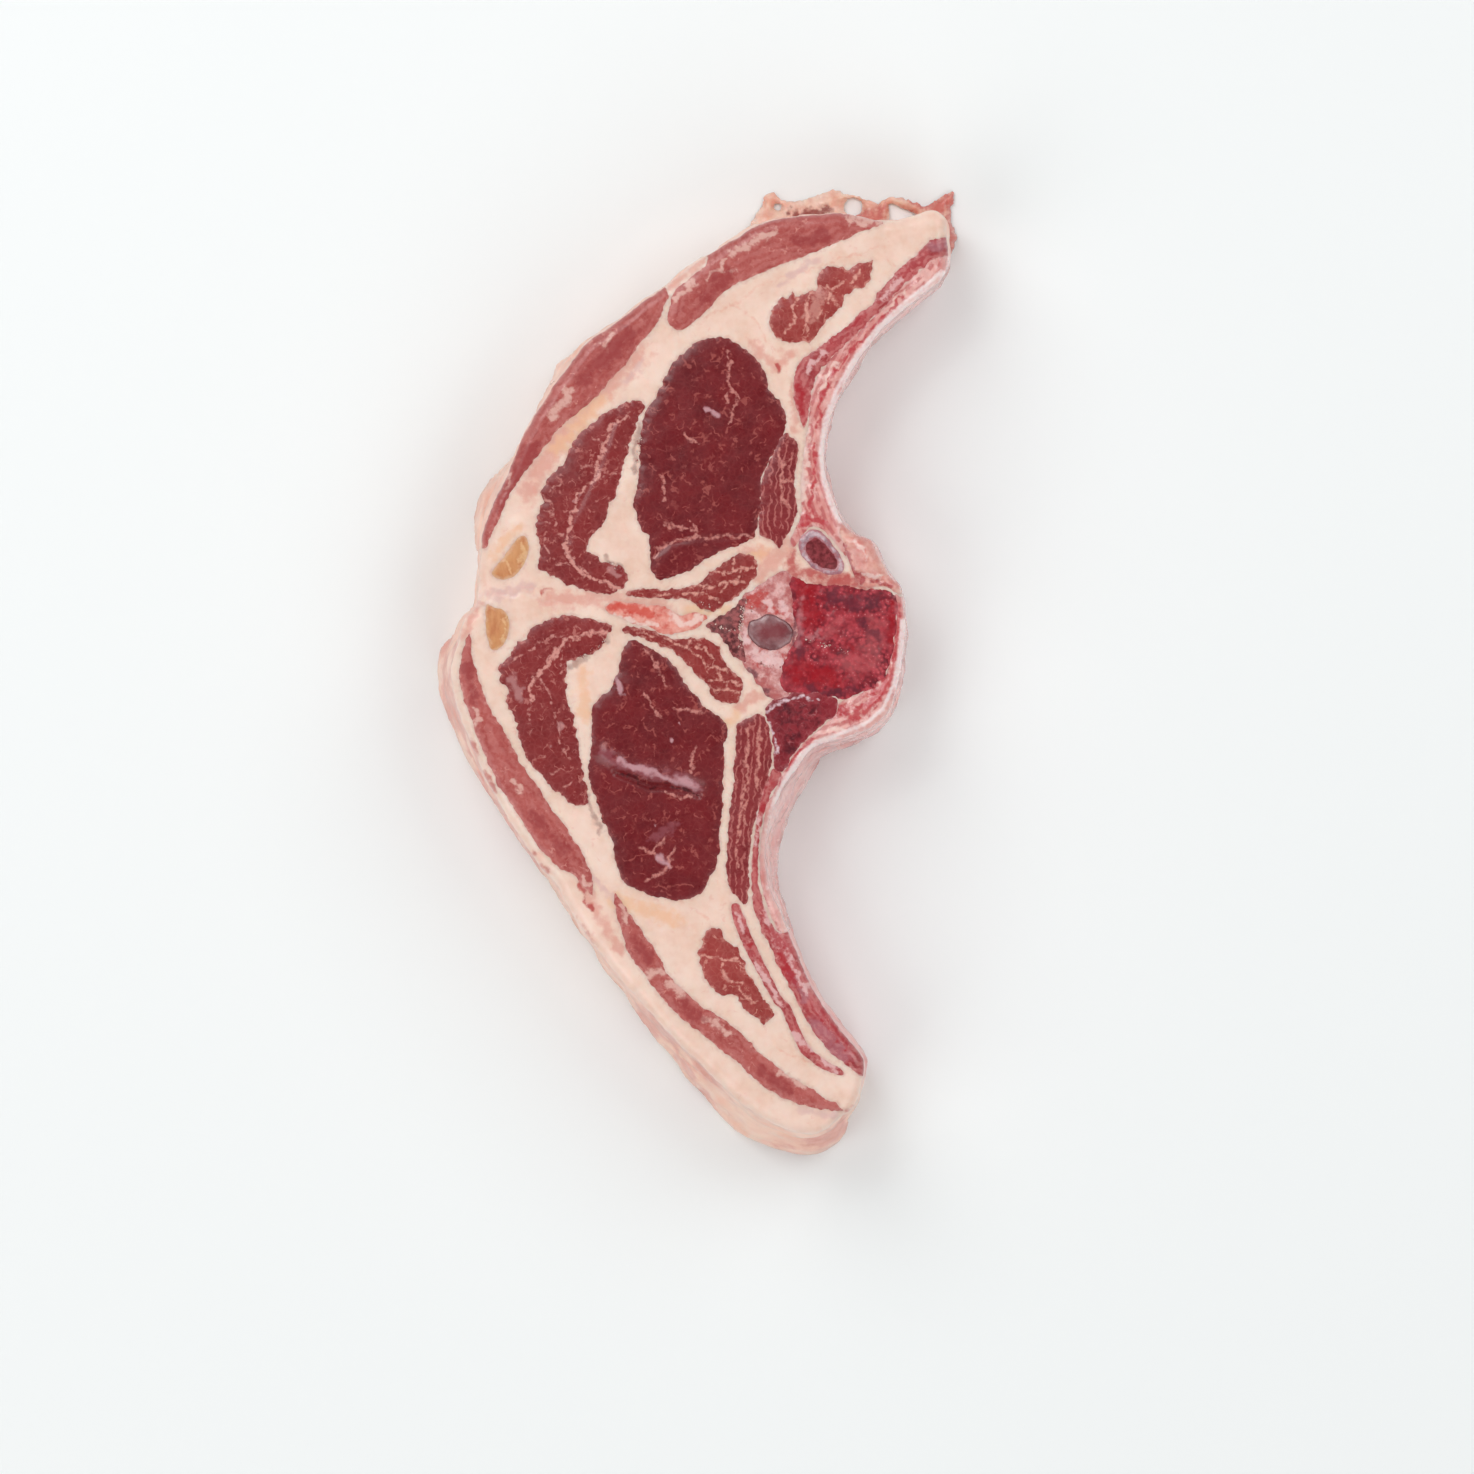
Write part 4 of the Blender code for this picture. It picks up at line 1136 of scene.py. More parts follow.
spine_lean, tree, place, colour = lean_material(
    "Spine lean", shade(124, 34, 36), shade(142, 46, 46), shade(164, 72, 68), shade(216, 152, 140),
    marbling=0.35, reach=1.8, sheath=0.06, ragged=0.5, contrast=0.5, seed=23.0,
)
colour = add_seams(tree, place, colour, shade(222, 160, 146), half_width=0.15, fray=0.24)
paint(tree, colour)
SPINE_LEFT = [
    (-11.8, 13.4), (-10, 14.1), (-8, 14.2), (-5, 14), (-2.5, 14.3), (-1, 14.8), (0.6, 15.9), (2.2, 17.2),
    (4, 18.6), (5.4, 19.5), (7.2, 19.9), (8.7, 19.4), (9.3, 18), (8.9, 16.2), (7.6, 14.6), (6.2, 13.2),
    (4.8, 12.3), (3.5, 11.3), (2, 10.7), (0.2, 11.2), (-1, 12), (-2.4, 12.4), (-5, 12.6), (-9, 12.8),
]
raise_tissue(
    "spine_lean_left", "spine_muscle_left", SPINE_LEFT, (0.35, 1.0, 27), spine_lean,
    crown=0.2,
    layers={
        "seam_gap": seam_gap(
            [(-2.6, 13.4), (-0.4, 13.4), (1.4, 13.2), (3.2, 12.2)],
            [(-0.6, 14.6), (1.6, 14.4), (3.4, 15), (5.6, 15.4), (7.6, 15)],
            [(2.4, 16.6), (4.4, 16.8), (6.4, 17.6), (8.6, 17.4)], [(3.6, 13.6), (4.4, 15)],
            [(5.2, 17.2), (5.4, 18.8)], [(-7.4, 13.4), (-5, 13.3)], [(6.2, 15.5), (6.8, 17.4)],
        )
    },
)
SPINE_RIGHT = [
    (-12.5, 8), (-11, 8.1), (-9, 7.8), (-7, 7.2), (-5, 6.4), (-3, 6.1), (-1, 6.3), (1, 6), (2.8, 5),
    (3.4, 3.6), (3.8, 2.4), (5, 1.4), (6.2, 0.3), (7, -1), (6.6, -2.7), (5.8, -4.2), (4, -4.2),
    (2.2, -3.2), (0.8, -0.9), (-0.5, 0.3), (-1.4, 1.5), (-2.8, 2.8), (-4.5, 4.2), (-6.5, 5.1), (-8, 5.8),
    (-10, 6.6), (-12.3, 7.2),
]
raise_tissue(
    "spine_lean_right", "spine_muscle_right", SPINE_RIGHT, (0.35, 1.0, 28), spine_lean,
    crown=0.2,
    layers={
        "seam_gap": seam_gap(
            [(-6, 6.3), (-3.6, 5.2), (-1.6, 4.4), (0.4, 3), (1.4, 1)], [(-0.8, 5), (1, 4.6), (2.4, 3)],
            [(-2.6, 4.6), (-1.4, 5.8)], [(1.2, 1.8), (2.8, 1.6), (4.4, 1)],
            [(1.4, -0.6), (3.2, -0.4), (5.2, -0.8), (6.8, -1.2)], [(2.2, -2.2), (4, -2), (6.2, -2.4)],
            [(4, -0.6), (4.4, -2)], [(2.6, 1.4), (3, 0)], [(-9.6, 7.1), (-7.4, 6.4)],
        )
    },
)


# ----------------------------------------------------------
# Rib muscles
#
# Thin muscles from the ribs run beside the eyes in leaves, and each leaf's edge shows as a fine pale
# line that follows the muscle's length.

# Leaves of muscle: pale lines that follow the border at even distances, 1 on a line.
leaf_group, give, result = new_group(
    "Leaves", {"Distance": 1.0, "Spacing": 0.95, "Line Share": 0.3, "Waver": 0.5}, "Mask",
)
waver = grain(leaf_group, give["Place"], 0.55, 2.5)
walked = swayed(leaf_group, give["Distance"], waver, maths(leaf_group, "MULTIPLY", give["Waver"], 4.0))
phase = maths(leaf_group, "FRACT", maths(leaf_group, "DIVIDE", walked, give["Spacing"]))
ridge = maths(leaf_group, "ABSOLUTE", maths(leaf_group, "SUBTRACT", phase, 0.5))
broken = grain(leaf_group, moved(leaf_group, give["Place"], 17.0), 0.8)
line = between(
    leaf_group, ridge, give["Line Share"], maths(leaf_group, "MULTIPLY", give["Line Share"], 0.35),
)
leaf_group.links.new(maths(leaf_group, "MULTIPLY", line, between(leaf_group, broken, 0.36, 0.52)), result)

rib_lean, tree, place, colour = lean_material(
    "Rib lean", shade(112, 28, 34), shade(130, 38, 43), shade(152, 62, 64), shade(200, 124, 118),
    marbling=0.3, reach=1.8, sheath=0.06, ragged=0.4, contrast=0.5, seed=33.0,
)
leaves = follow(tree, leaf_group, place, "leaf_gap", spacing=1.0, line_share=0.2, waver=0.5)
colour = over(tree, colour, (leaves, 0.6, shade(196, 118, 112)))
colour = add_seams(tree, place, colour, shade(208, 138, 128), half_width=0.16)
paint(tree, colour)
RIB_LEFT = [
    (14, 39.4), (15, 38.7), (15.8, 37), (15.6, 35), (15.3, 33), (15.2, 31), (15.5, 29), (15.7, 27.5),
    (15.4, 26), (15, 24.8), (14.4, 23.5), (13.6, 22.2), (12.9, 20.6), (12.2, 21.4), (11.2, 22.2),
    (9.8, 22.8), (9.4, 24.5), (9.6, 27), (9.7, 30), (10.2, 32.4), (10.8, 33.9), (11.6, 35.6), (12.4, 37.6),
    (13.2, 39),
]
raise_tissue(
    "rib_lean_left", "rib_muscle_left", RIB_LEFT, (0.3, 0.9, 29), rib_lean, crown=0.25,
    layers={
        "leaf_gap": distance_to([(12.9, 18), (12.6, 26), (12.9, 33), (14, 41)]),
        "seam_gap": seam_gap(
            [(12.8, 36.8), (13.2, 34), (12.9, 31), (13.2, 28.6)], [(13.2, 33.6), (14.6, 35.2)],
            [(13.2, 31.4), (14.8, 31.6)], [(13.2, 28.8), (14.6, 27.4)],
        ),
    },
)
RIB_RIGHT = [
    (6.2, -7.6), (8, -6.5), (9.9, -6), (10.9, -7.6), (11.4, -10), (11.6, -13), (11, -16), (10, -19),
    (9.2, -22), (8.3, -26), (7.9, -30), (7.8, -34), (7.3, -36.6), (6, -35.2), (5, -34.2), (4.4, -32),
    (4.3, -29), (4.5, -26), (4.7, -23), (4.9, -20), (5.4, -17.5), (5.5, -15), (5.7, -12), (5.8, -9.5),
]
raise_tissue(
    "rib_lean_right", "rib_muscle_right", RIB_RIGHT, (0.3, 0.9, 30), rib_lean, crown=0.25,
    layers={
        "leaf_gap": distance_to([(8.6, -2), (8, -12), (6.6, -24), (6.0, -40)]),
        "seam_gap": seam_gap(
            [(7.8, -8.4), (7.4, -13), (7.6, -17), (6.6, -20.5), (6, -25), (6, -31)],
            [(9.6, -8), (9.4, -13), (9, -18)], [(7.4, -20), (7, -23.6)],
        ),
    },
)


# ----------------------------------------------------------
# Inner muscle
#
# A dark bloody muscle fills the corner between the backbone and the right ribs. The gristle's skin
# shows as a white arc along its top, with a painted highlight on it.

material, tree, place, colour = lean_material(
    "Inner lean", shade(104, 24, 34), shade(140, 36, 46), shade(166, 62, 70), shade(190, 112, 116),
    marbling=0.4, reach=1.8, sheath=0.12, ragged=0.4, contrast=0.6, seed=43.0, thread_width=0.04,
)
clot = clouds(tree, place, 1.2, 0.14, 19.0)
clotted = maths(tree, "MULTIPLY", clot, frayed_mask(tree, place, "dusky", 36.0))
colour = over(tree, colour, (clotted, 0.85, shade(70, 20, 30)))
# The white arc is the gristle's skin with a painted highlight along it.
arc = follow(tree, line_group, place, "arc_gap", half_width=0.14, softness=0.22, fray=0.22)
colour = over(tree, colour, (arc, 0.9, shade(228, 200, 206)))
paint(tree, colour)
INNER_RIGHT = [
    (10.6, -5.2), (11.4, -4), (13, -3), (15, -2.5), (17, -2.3), (19.5, -2.5), (21.6, -3.3), (22.2, -4.6),
    (21.8, -6), (20.2, -7.4), (18.5, -8.9), (17, -10.3), (15.5, -11.8), (14.3, -13.8), (13.2, -15.4),
    (12, -14.6), (11.9, -12), (11.6, -9), (10.9, -7),
]
raise_tissue(
    "inner_lean", "inner_muscle_right", INNER_RIGHT, (0.3, 1.1, 31), material, crown=0.2,
    layers={
        "dusky": [(2.2, [(14, -6), (18, -6)]), (1.4, [(15, -9.6), (14, -12)])],
        "arc_gap": seam_gap(
            [(10.8, -6), (11.8, -4.9), (13.2, -4), (15, -3.5), (17.2, -3.3), (19.4, -3.7)],
            [(11.2, -7.4), (12, -9.4), (12.3, -12.4)],
        ),
    },
)


# ----------------------------------------------------------
# Flank ovals
#
# A ragged oval of lean sits in the fat of each flank, torn into lobes by the fat that grows into it.

oval_lean, tree, place, colour = lean_material(
    "Flank lean", shade(138, 43, 41), shade(158, 60, 57), shade(180, 88, 83), shade(218, 152, 138),
    marbling=0.4, reach=2.2, sheath=0.08, ragged=0.55, contrast=0.6, seed=53.0,
)
colour = add_seams(tree, place, colour, shade(222, 160, 146), half_width=0.15, fray=0.24)
colour = stained(tree, place, colour, ("fatty", 37.0, 0.55, shade(216, 156, 144), 0.9, 0.35, 0.75))
paint(tree, colour)
OVAL_LEFT = [
    (11.1, 57), (11.5, 58.8), (12.2, 60), (13.2, 61.3), (14.2, 61), (14.8, 62.2), (15.8, 61.3),
    (17.5, 62.3), (18.8, 62.2), (18.9, 63.8), (19.5, 65.5), (21, 66.2), (22.5, 66.1), (24, 65.6),
    (25.3, 66.6), (26.8, 66.8), (27.9, 67.3), (27.7, 65.5), (27.3, 63.8), (26.3, 62.8), (25, 62.6),
    (24.2, 61.8), (23.4, 61.5), (23, 60), (22, 59), (20.8, 57.8), (19.5, 56.3), (18.3, 54.5), (17.5, 53.8),
    (16.5, 54.1), (14.8, 53.9), (13.2, 54.3), (11.9, 55.3),
]
raise_tissue(
    "flank_oval_left", "belly_muscle_left", OVAL_LEFT, (0.3, 0.8, 32), oval_lean, crown=0.3,
    layers={
        "seam_gap": seam_gap(
            [(13.6, 55.4), (15, 57.2), (14.8, 59.4), (16, 61)],
            [(17, 55.4), (17.6, 58), (17, 60.4), (18.4, 62)],
            [(18.8, 58), (20.6, 60.4), (21.6, 62.6), (23.6, 64)], [(22, 60), (20.4, 63.4)],
            [(24.6, 63), (25.8, 65.6)],
        ),
        "fatty": [(1.3, [(18, 58), (19.4, 62)])],
    },
)
OVAL_RIGHT = [
    (1.4, -40.9), (2.5, -40.4), (3.5, -41), (3.9, -42.3), (5, -43.1), (6.2, -43.8), (6.6, -45), (7.3, -46),
    (7.4, -47.3), (8.2, -48.5), (9.2, -50), (10.2, -51.8), (11.3, -53), (12, -54.3), (11.4, -55.1),
    (10.4, -56.2), (9.3, -55.2), (8, -54.2), (6.8, -53.1), (6, -51.7), (5.2, -51.1), (4, -51.4),
    (2.6, -50.8), (1.7, -49.5), (0.8, -48.5), (0.3, -47), (-0.1, -45.5), (-0.2, -44.5), (0.5, -43),
    (0.5, -42),
]
raise_tissue(
    "flank_oval_right", "belly_muscle_right", OVAL_RIGHT, (0.3, 0.8, 33), oval_lean,
    crown=0.3,
    layers={
        "seam_gap": seam_gap(
            [(0, -44.8), (2.5, -45.2), (4, -45.5), (5.5, -45.3), (7, -46)],
            [(3.5, -45.5), (3.8, -48), (5, -49.3), (7, -49.2)], [(6, -50), (7.5, -51.5), (9, -52.5)],
        ),
        "fatty": [(0.5, [(3.6, -47.4), (4.4, -49)])],
    },
)


# ----------------------------------------------------------
# Back and flank bands
#
# Thin sheets of muscle lie under the back fat and run on into the flanks. They are paler than the loin,
# with faint streaks along their length.

band_lean, tree, place, colour = lean_material(
    "Band lean", shade(154, 60, 58), shade(174, 82, 78), shade(196, 110, 104), shade(218, 152, 142),
    marbling=0.38, reach=2.2, sheath=0.08, ragged=0.4, contrast=0.6, seed=63.0,
)
streak = follow(tree, leaf_group, place, "border_gap", spacing=1.3, line_share=0.4, waver=0.6)
colour = over(tree, colour, (streak, 0.28, shade(206, 136, 130)))
colour = stained(
    tree, place, colour, ("fatty", 38.0, 0.75, shade(228, 184, 172), 0.8, 0.3, 0.8),
    ("deep", 39.0, 0.7, shade(150, 56, 58), 1.4, 0.3, 0.8),
)
paint(tree, skinned(tree, colour))

BANDS = {
    "back_band_left": (
        [
            (-5.3, 62), (-5.6, 60.5), (-6, 59), (-6.8, 57.5), (-7.8, 55.8), (-9, 54.6), (-10, 53.3),
            (-12, 50.5), (-14.5, 47.8), (-16, 45.8), (-17.5, 44.5), (-20.5, 42), (-22.5, 40.3),
            (-24.8, 37.3), (-27.5, 34), (-28.8, 32.5), (-30, 30.5), (-31.3, 28), (-32.5, 25.5),
            (-33.5, 23.5), (-34.8, 20.6), (-37, 19), (-41, 24), (-36, 37), (-28, 50), (-18, 59.5),
            (-8, 66.5),
        ],
        [
            (0.9, [(-24, 42), (-21, 46)]), (0.6, [(-15.6, 53.4), (-14, 55)]),
            (0.5, [(-31.4, 30.6), (-30.6, 33)]),
        ],
        [(2.0, [(-27, 36.6), (-31.6, 27.6)]), (2.0, [(-12, 54.6), (-19, 48)])],
    ),
    "flank_band_left": (
        [
            (33, 73.8), (30, 73.2), (26, 71.8), (22, 70), (18, 68.4), (14, 67), (10, 65.2), (8, 64.4),
            (6, 63.5), (4, 62.1), (2, 60.2), (0, 58.3), (-2, 56.5), (-4, 55.9), (-4.9, 57.4), (-4.9, 59.8),
            (-4, 62.3), (-2.5, 63.6), (-0.8, 65), (0.9, 66.1), (1.4, 67.6), (2, 70), (6, 74), (14, 78),
            (26, 78), (33, 76),
        ],
        [
            (0.6, [(-4.2, 61), (-1, 63.6)]), (0.9, [(5, 68.4), (12, 71.8)]),
            (0.7, [(24, 73.4), (29, 73.4)]), (0.3, [(1, 64.4), (3.2, 66), (4.4, 68)]),
            (0.25, [(2.8, 65.4), (6, 65.6)]),
        ],
        [(2.0, [(1, 61), (4, 64.4)]), (1.5, [(16, 70), (20, 71)])],
    ),
    "back_band_right": (
        [
            (-37.2, 7), (-38, 5), (-38.6, 2.5), (-38.8, 0), (-38.3, -3), (-37.3, -5.5), (-36.5, -8),
            (-35.6, -10.3), (-34.7, -12.5), (-33.8, -14.7), (-32.6, -17.3), (-31, -19.7), (-29.5, -22),
            (-28, -24.3), (-26.8, -26.3), (-25.6, -28), (-24.2, -29.4), (-22.5, -30.8), (-20.5, -32),
            (-18.5, -34), (-17.3, -35.4), (-17.3, -33.5), (-17.7, -31.5), (-18.3, -30), (-19.3, -28),
            (-20.5, -26), (-22, -23.5), (-23.8, -21.5), (-24.8, -19.8), (-26.3, -17.5), (-28, -15.5),
            (-29.3, -13.3), (-30.3, -11), (-31.5, -9), (-32.7, -7), (-33.9, -5), (-34.7, -3), (-35.5, -1),
            (-36.1, 1), (-36.6, 3), (-36.9, 5),
        ],
        [
            (0.5, [(-36.4, -5), (-35.6, -7.4)]), (0.5, [(-30, -16.6), (-29, -18.4)]),
            (0.5, [(-19, -32.4), (-18, -34)]),
        ],
        [(1.1, [(-37.4, 2), (-36.6, -4)]), (1.4, [(-27, -22), (-22, -28)])],
    ),
    "flank_band_right": (
        [
            (-13.8, -34.8), (-12.7, -36), (-11.5, -38), (-10, -40), (-8.8, -41.8), (-7.5, -43.5),
            (-6.3, -45.8), (-5.7, -47.2), (-4.8, -48.5), (-3.3, -50), (-1.5, -51.5), (0.3, -53.2),
            (2, -54.2), (4, -55.3), (6, -57), (8, -58.8), (9.8, -60.8), (12, -62.5), (14, -64),
            (16, -65.3), (18.5, -66.8), (20.5, -68), (22.6, -69.3), (23, -70), (20, -69.8), (18, -69.3),
            (15.5, -68.7), (13, -67.6), (11, -66.5), (9, -65), (7, -63), (5, -61.3), (3, -59.8), (1, -58),
            (-1, -56.6), (-3, -55), (-5, -53), (-6.5, -51.3), (-8, -49.3), (-9.2, -47.5), (-10.5, -46.1),
            (-11.6, -44.3), (-12.3, -42), (-12.9, -40), (-13.5, -38),
        ],
        [
            (0.9, [(-8.4, -48), (-6.2, -47.2)]), (0.8, [(1, -55), (4.6, -57)]),
            (0.8, [(-5, -49.4), (-2.8, -51.2)]), (0.6, [(13, -63.8), (17, -66)]),
            (0.5, [(-12.6, -37), (-11.6, -40)]),
        ],
        [
            (1.4, [(-10.4, -43), (-8, -45.6)]), (1.2, [(-3, -52.4), (0, -55)]),
            (1.1, [(10, -63.6), (14.6, -66.6)]),
        ],
    ),
}
for name, (outline, fatty, deep) in BANDS.items():
    raise_tissue(
        name + "_lean", name, outline, (0.26, 1.4, len(name)), band_lean, crown=0.3,
        layers={"fatty": fatty, "deep": deep},
    )


# ----------------------------------------------------------
# Inner bands
#
# Between the ribs' ends and the belly cavity runs a thin muscle, bright red and streaked with white
# sheets that follow it. On the right side a narrow strip runs beside it.

inner_band_lean, tree, place, colour = lean_material(
    "Inner band lean", shade(144, 42, 47), shade(176, 66, 70), shade(204, 104, 106), shade(228, 170, 164),
    marbling=0.3, reach=2.0, sheath=0.05, ragged=0.35, contrast=0.5, seed=73.0,
)
sheets = follow(tree, leaf_group, place, "border_gap", spacing=1.0, line_share=0.34, waver=0.5)
colour = over(tree, colour, (sheets, 0.3, shade(222, 156, 150)))
# The lavender tone is pale silverskin, and over the right band's lower end a painted sheen.
colour = stained(
    tree, place, colour, ("fatty", 40.0, 0.8, shade(228, 184, 182), 0.7, 0.3, 0.75),
    ("silver", 41.0, 0.4, shade(172, 128, 140), 1.4, 0.25, 0.9),
    ("crimson", 42.0, 0.8, shade(168, 32, 44), 0.8, 0.3, 0.8),
)
paint(tree, skinned(tree, colour))

INNER_BAND_LEFT = [
    (44, 73), (39.6, 71), (37.8, 70.6), (36.2, 69.5), (35, 68.1), (33.8, 67.3), (32.5, 66), (31.3, 64.8),
    (30, 63.2), (28.7, 62), (28, 60.3), (26.5, 59.2), (25, 57.8), (23.5, 56.3), (22, 55.2), (20.5, 54.2),
    (19, 53.2), (17.5, 52), (16.3, 50.8), (15.5, 49.5), (15.2, 47.5), (15.2, 44.5), (15.8, 42.5),
    (16.7, 40), (17.5, 42), (17.7, 44), (18, 46), (18.5, 47.5), (19.3, 49.2), (20.4, 50.6), (22, 52.2),
    (24, 54.2), (25.5, 55.6), (27, 57), (28.5, 58.5), (30, 60), (31.5, 61.8), (33, 63.3), (34.5, 64.7),
    (36, 66), (37.2, 67.2), (39.4, 68), (44, 68.6),
]
raise_tissue(
    "inner_band_lean_left", "inner_band_left", INNER_BAND_LEFT, (0.28, 1.1, 34), inner_band_lean,
    crown=0.2,
    layers={
        "fatty": [(0.5, [(17.4, 49.4), (18.4, 50.8), (20, 52.4)]), (0.6, [(29, 60.6), (32, 64)])],
        "silver": [(0.8, [(37, 69.4), (39.4, 70)])],
        "crimson": [(0.8, [(16, 47), (16.4, 42.6)]), (0.4, [(21, 54), (26, 58)])],
    },
)

STRIP_RIGHT = [
    (5, -37), (6.2, -36.6), (7.2, -38.8), (8.4, -42), (9.8, -45), (11.6, -48.6), (13.4, -51.9),
    (14.7, -53.2), (15.8, -56), (17.7, -59.6), (20.4, -61.9), (22.8, -63.2), (22.8, -64.2), (19.8, -63.2),
    (16.4, -60.6), (14.4, -56.6), (13.2, -53.8), (12, -52.6), (10.2, -49.4), (8.8, -46.8), (7.2, -43.8),
    (5.8, -40.4),
]
raise_tissue(
    "inner_strip_lean", "inner_strip_right", STRIP_RIGHT, (0.14, 1.2, 35), inner_band_lean,
    crown=0.15,
    layers={
        "fatty": [
            (0.5, [(6, -38), (7, -41)]), (0.5, [(9, -46), (13, -52.6)]), (0.6, [(15, -57.4), (22, -63.4)]),
        ],
        "crimson": [(0.3, [(8, -43), (8.6, -44)])],
    },
)

INNER_BAND_RIGHT = [
    (12.4, -15), (13.2, -15.8), (11.6, -18.6), (10.4, -21.6), (9.7, -25), (9.3, -29), (9.4, -33),
    (10.2, -36.5), (11.4, -39.6), (13, -41.2), (17, -41.6), (22, -50), (27, -57), (31, -63), (26.6, -64.4),
    (25, -63.6), (23.5, -62.5), (21, -60.5), (19, -58), (17, -55), (15.5, -52), (14, -49), (12.5, -46.5),
    (11.5, -44), (10, -41), (8.9, -38), (8.4, -35), (8.3, -30), (8.9, -25), (9.6, -20), (10.7, -17),
    (11.6, -15),
]
raise_tissue(
    "inner_band_lean_right", "inner_band_right", INNER_BAND_RIGHT, (0.24, 1.2, 36), inner_band_lean,
    crown=0.2,
    layers={
        "fatty": [
            (0.8, [(10.6, -36.6), (12.6, -44)]), (0.4, [(9.4, -19), (9.2, -27)]),
            (0.5, [(13.6, -44), (17.4, -51)]),
        ],
        # A lavender painted sheen over the band's lower end.
        "silver": [(1.8, [(18.6, -56), (23, -61.4)]), (0.8, [(14.8, -48), (17, -52)])],
        "crimson": [
            (1.1, [(12.2, -17.4), (10.4, -23), (9.6, -31)]), (1.2, [(11.6, -41), (15, -49)]),
            (0.8, [(19.6, -54), (23.4, -59.6)]),
        ],
    },
)


# ----------------------------------------------------------
# Linings of the belly cavity
#
# A smooth wet skin lines the cavity. At the cut it shows as a pale edge with a painted highlight along
# it and thin stripes of pink and red fat and muscle behind it, and it covers the whole wall below.

cavity_lining, tree, place = wet_material("Cavity lining", 0.24, 0.6, 0.3, 1.4, bump=0.5, grain_size=1.4)
cloudy = clouds(tree, place, 3.2, 0.18, 27.0)
fine = clouds(tree, place, 1.1, 0.18, 28.0)
ribbons = follow(tree, leaf_group, place, "rim_gap", spacing=1.25, line_share=0.4, waver=0.14)
edge = follow(tree, line_group, place, "pale_edge_and_highlight_gap", half_width=0.30, softness=0.25, fray=0.12)
colour = blend(tree, cloudy, shade(218, 146, 140), shade(240, 192, 184))
colour = over(tree, colour, (fine, 0.25, shade(200, 108, 106)))
ribbons = maths(tree, "MULTIPLY", ribbons, between(tree, layer(tree, "rim_gap"), 0.2, 0.9))
colour = over(tree, colour, (ribbons, 0.6, shade(178, 62, 68)))
colour = stained(
    tree, place, colour, ("cream", 43.0, 0.85, shade(240, 206, 196), 0.9, 0.3, 0.8),
    ("raw", 44.0, 0.85, shade(188, 56, 66), 0.9, 0.3, 0.8),
)
# The near-white edge is the lining's pale edge with a painted highlight along it.
colour = over(tree, colour, (edge, 0.9, shade(252, 232, 230)))
paint(tree, skinned(tree, colour))

LINING_LEFT = [
    (40.4, 68.8), (37.4, 67.4), (36, 66), (34.5, 64.7), (33, 63.3), (31.5, 61.8), (30, 60), (28.5, 58.5),
    (25.5, 55.6), (22, 52.2), (20.2, 50.2), (18.8, 48), (18, 45), (17.6, 42), (17.2, 39), (16.6, 35),
    (16.2, 31), (16.4, 28), (16.2, 25.6), (15.2, 23.6), (14.6, 21.6), (15.2, 21), (16.2, 22.2), (17.6, 24),
    (19.4, 24), (21.2, 22.4), (22.6, 20.6), (23.6, 19.6), (23.4, 22), (23.2, 24), (30, 26), (27, 34),
    (27, 42), (33, 52), (42, 60), (46, 68),
]
raise_tissue(
    "cavity_lining_left", "lining_left", LINING_LEFT, (0.2, 1.4, 37), cavity_lining, crown=0.15,
    relief=lambda plan: 0.22 * ripple(plan, 2.0, 38, 2),
    layers={
        # Line of the pale edge and its painted highlight.
        "pale_edge_and_highlight_gap": distance_to(
            [
                (39, 65.4), (36.4, 63), (32.4, 59.8), (28.4, 56), (24.9, 51.4), (22.2, 46.6), (20.1, 41.2),
                (19.4, 36), (19.8, 32), (21, 28), (22.4, 25),
            ]
        ),
        "cream": [
            (0.6, [(16.6, 28), (16.8, 33), (17.4, 40)]), (0.4, [(19.2, 46), (22, 50.6)]),
            (0.5, [(33, 62), (30, 58.6)]),
        ],
        "raw": [
            (0.9, [(16.2, 25), (18, 25.6), (20, 24.6)]),
            (0.35, [(18.8, 40), (19.6, 45), (22.4, 50), (27, 55.4), (32.6, 61.2)]),
            (0.4, [(17.6, 26), (18.4, 33), (18.4, 38)]),
        ],
    },
)

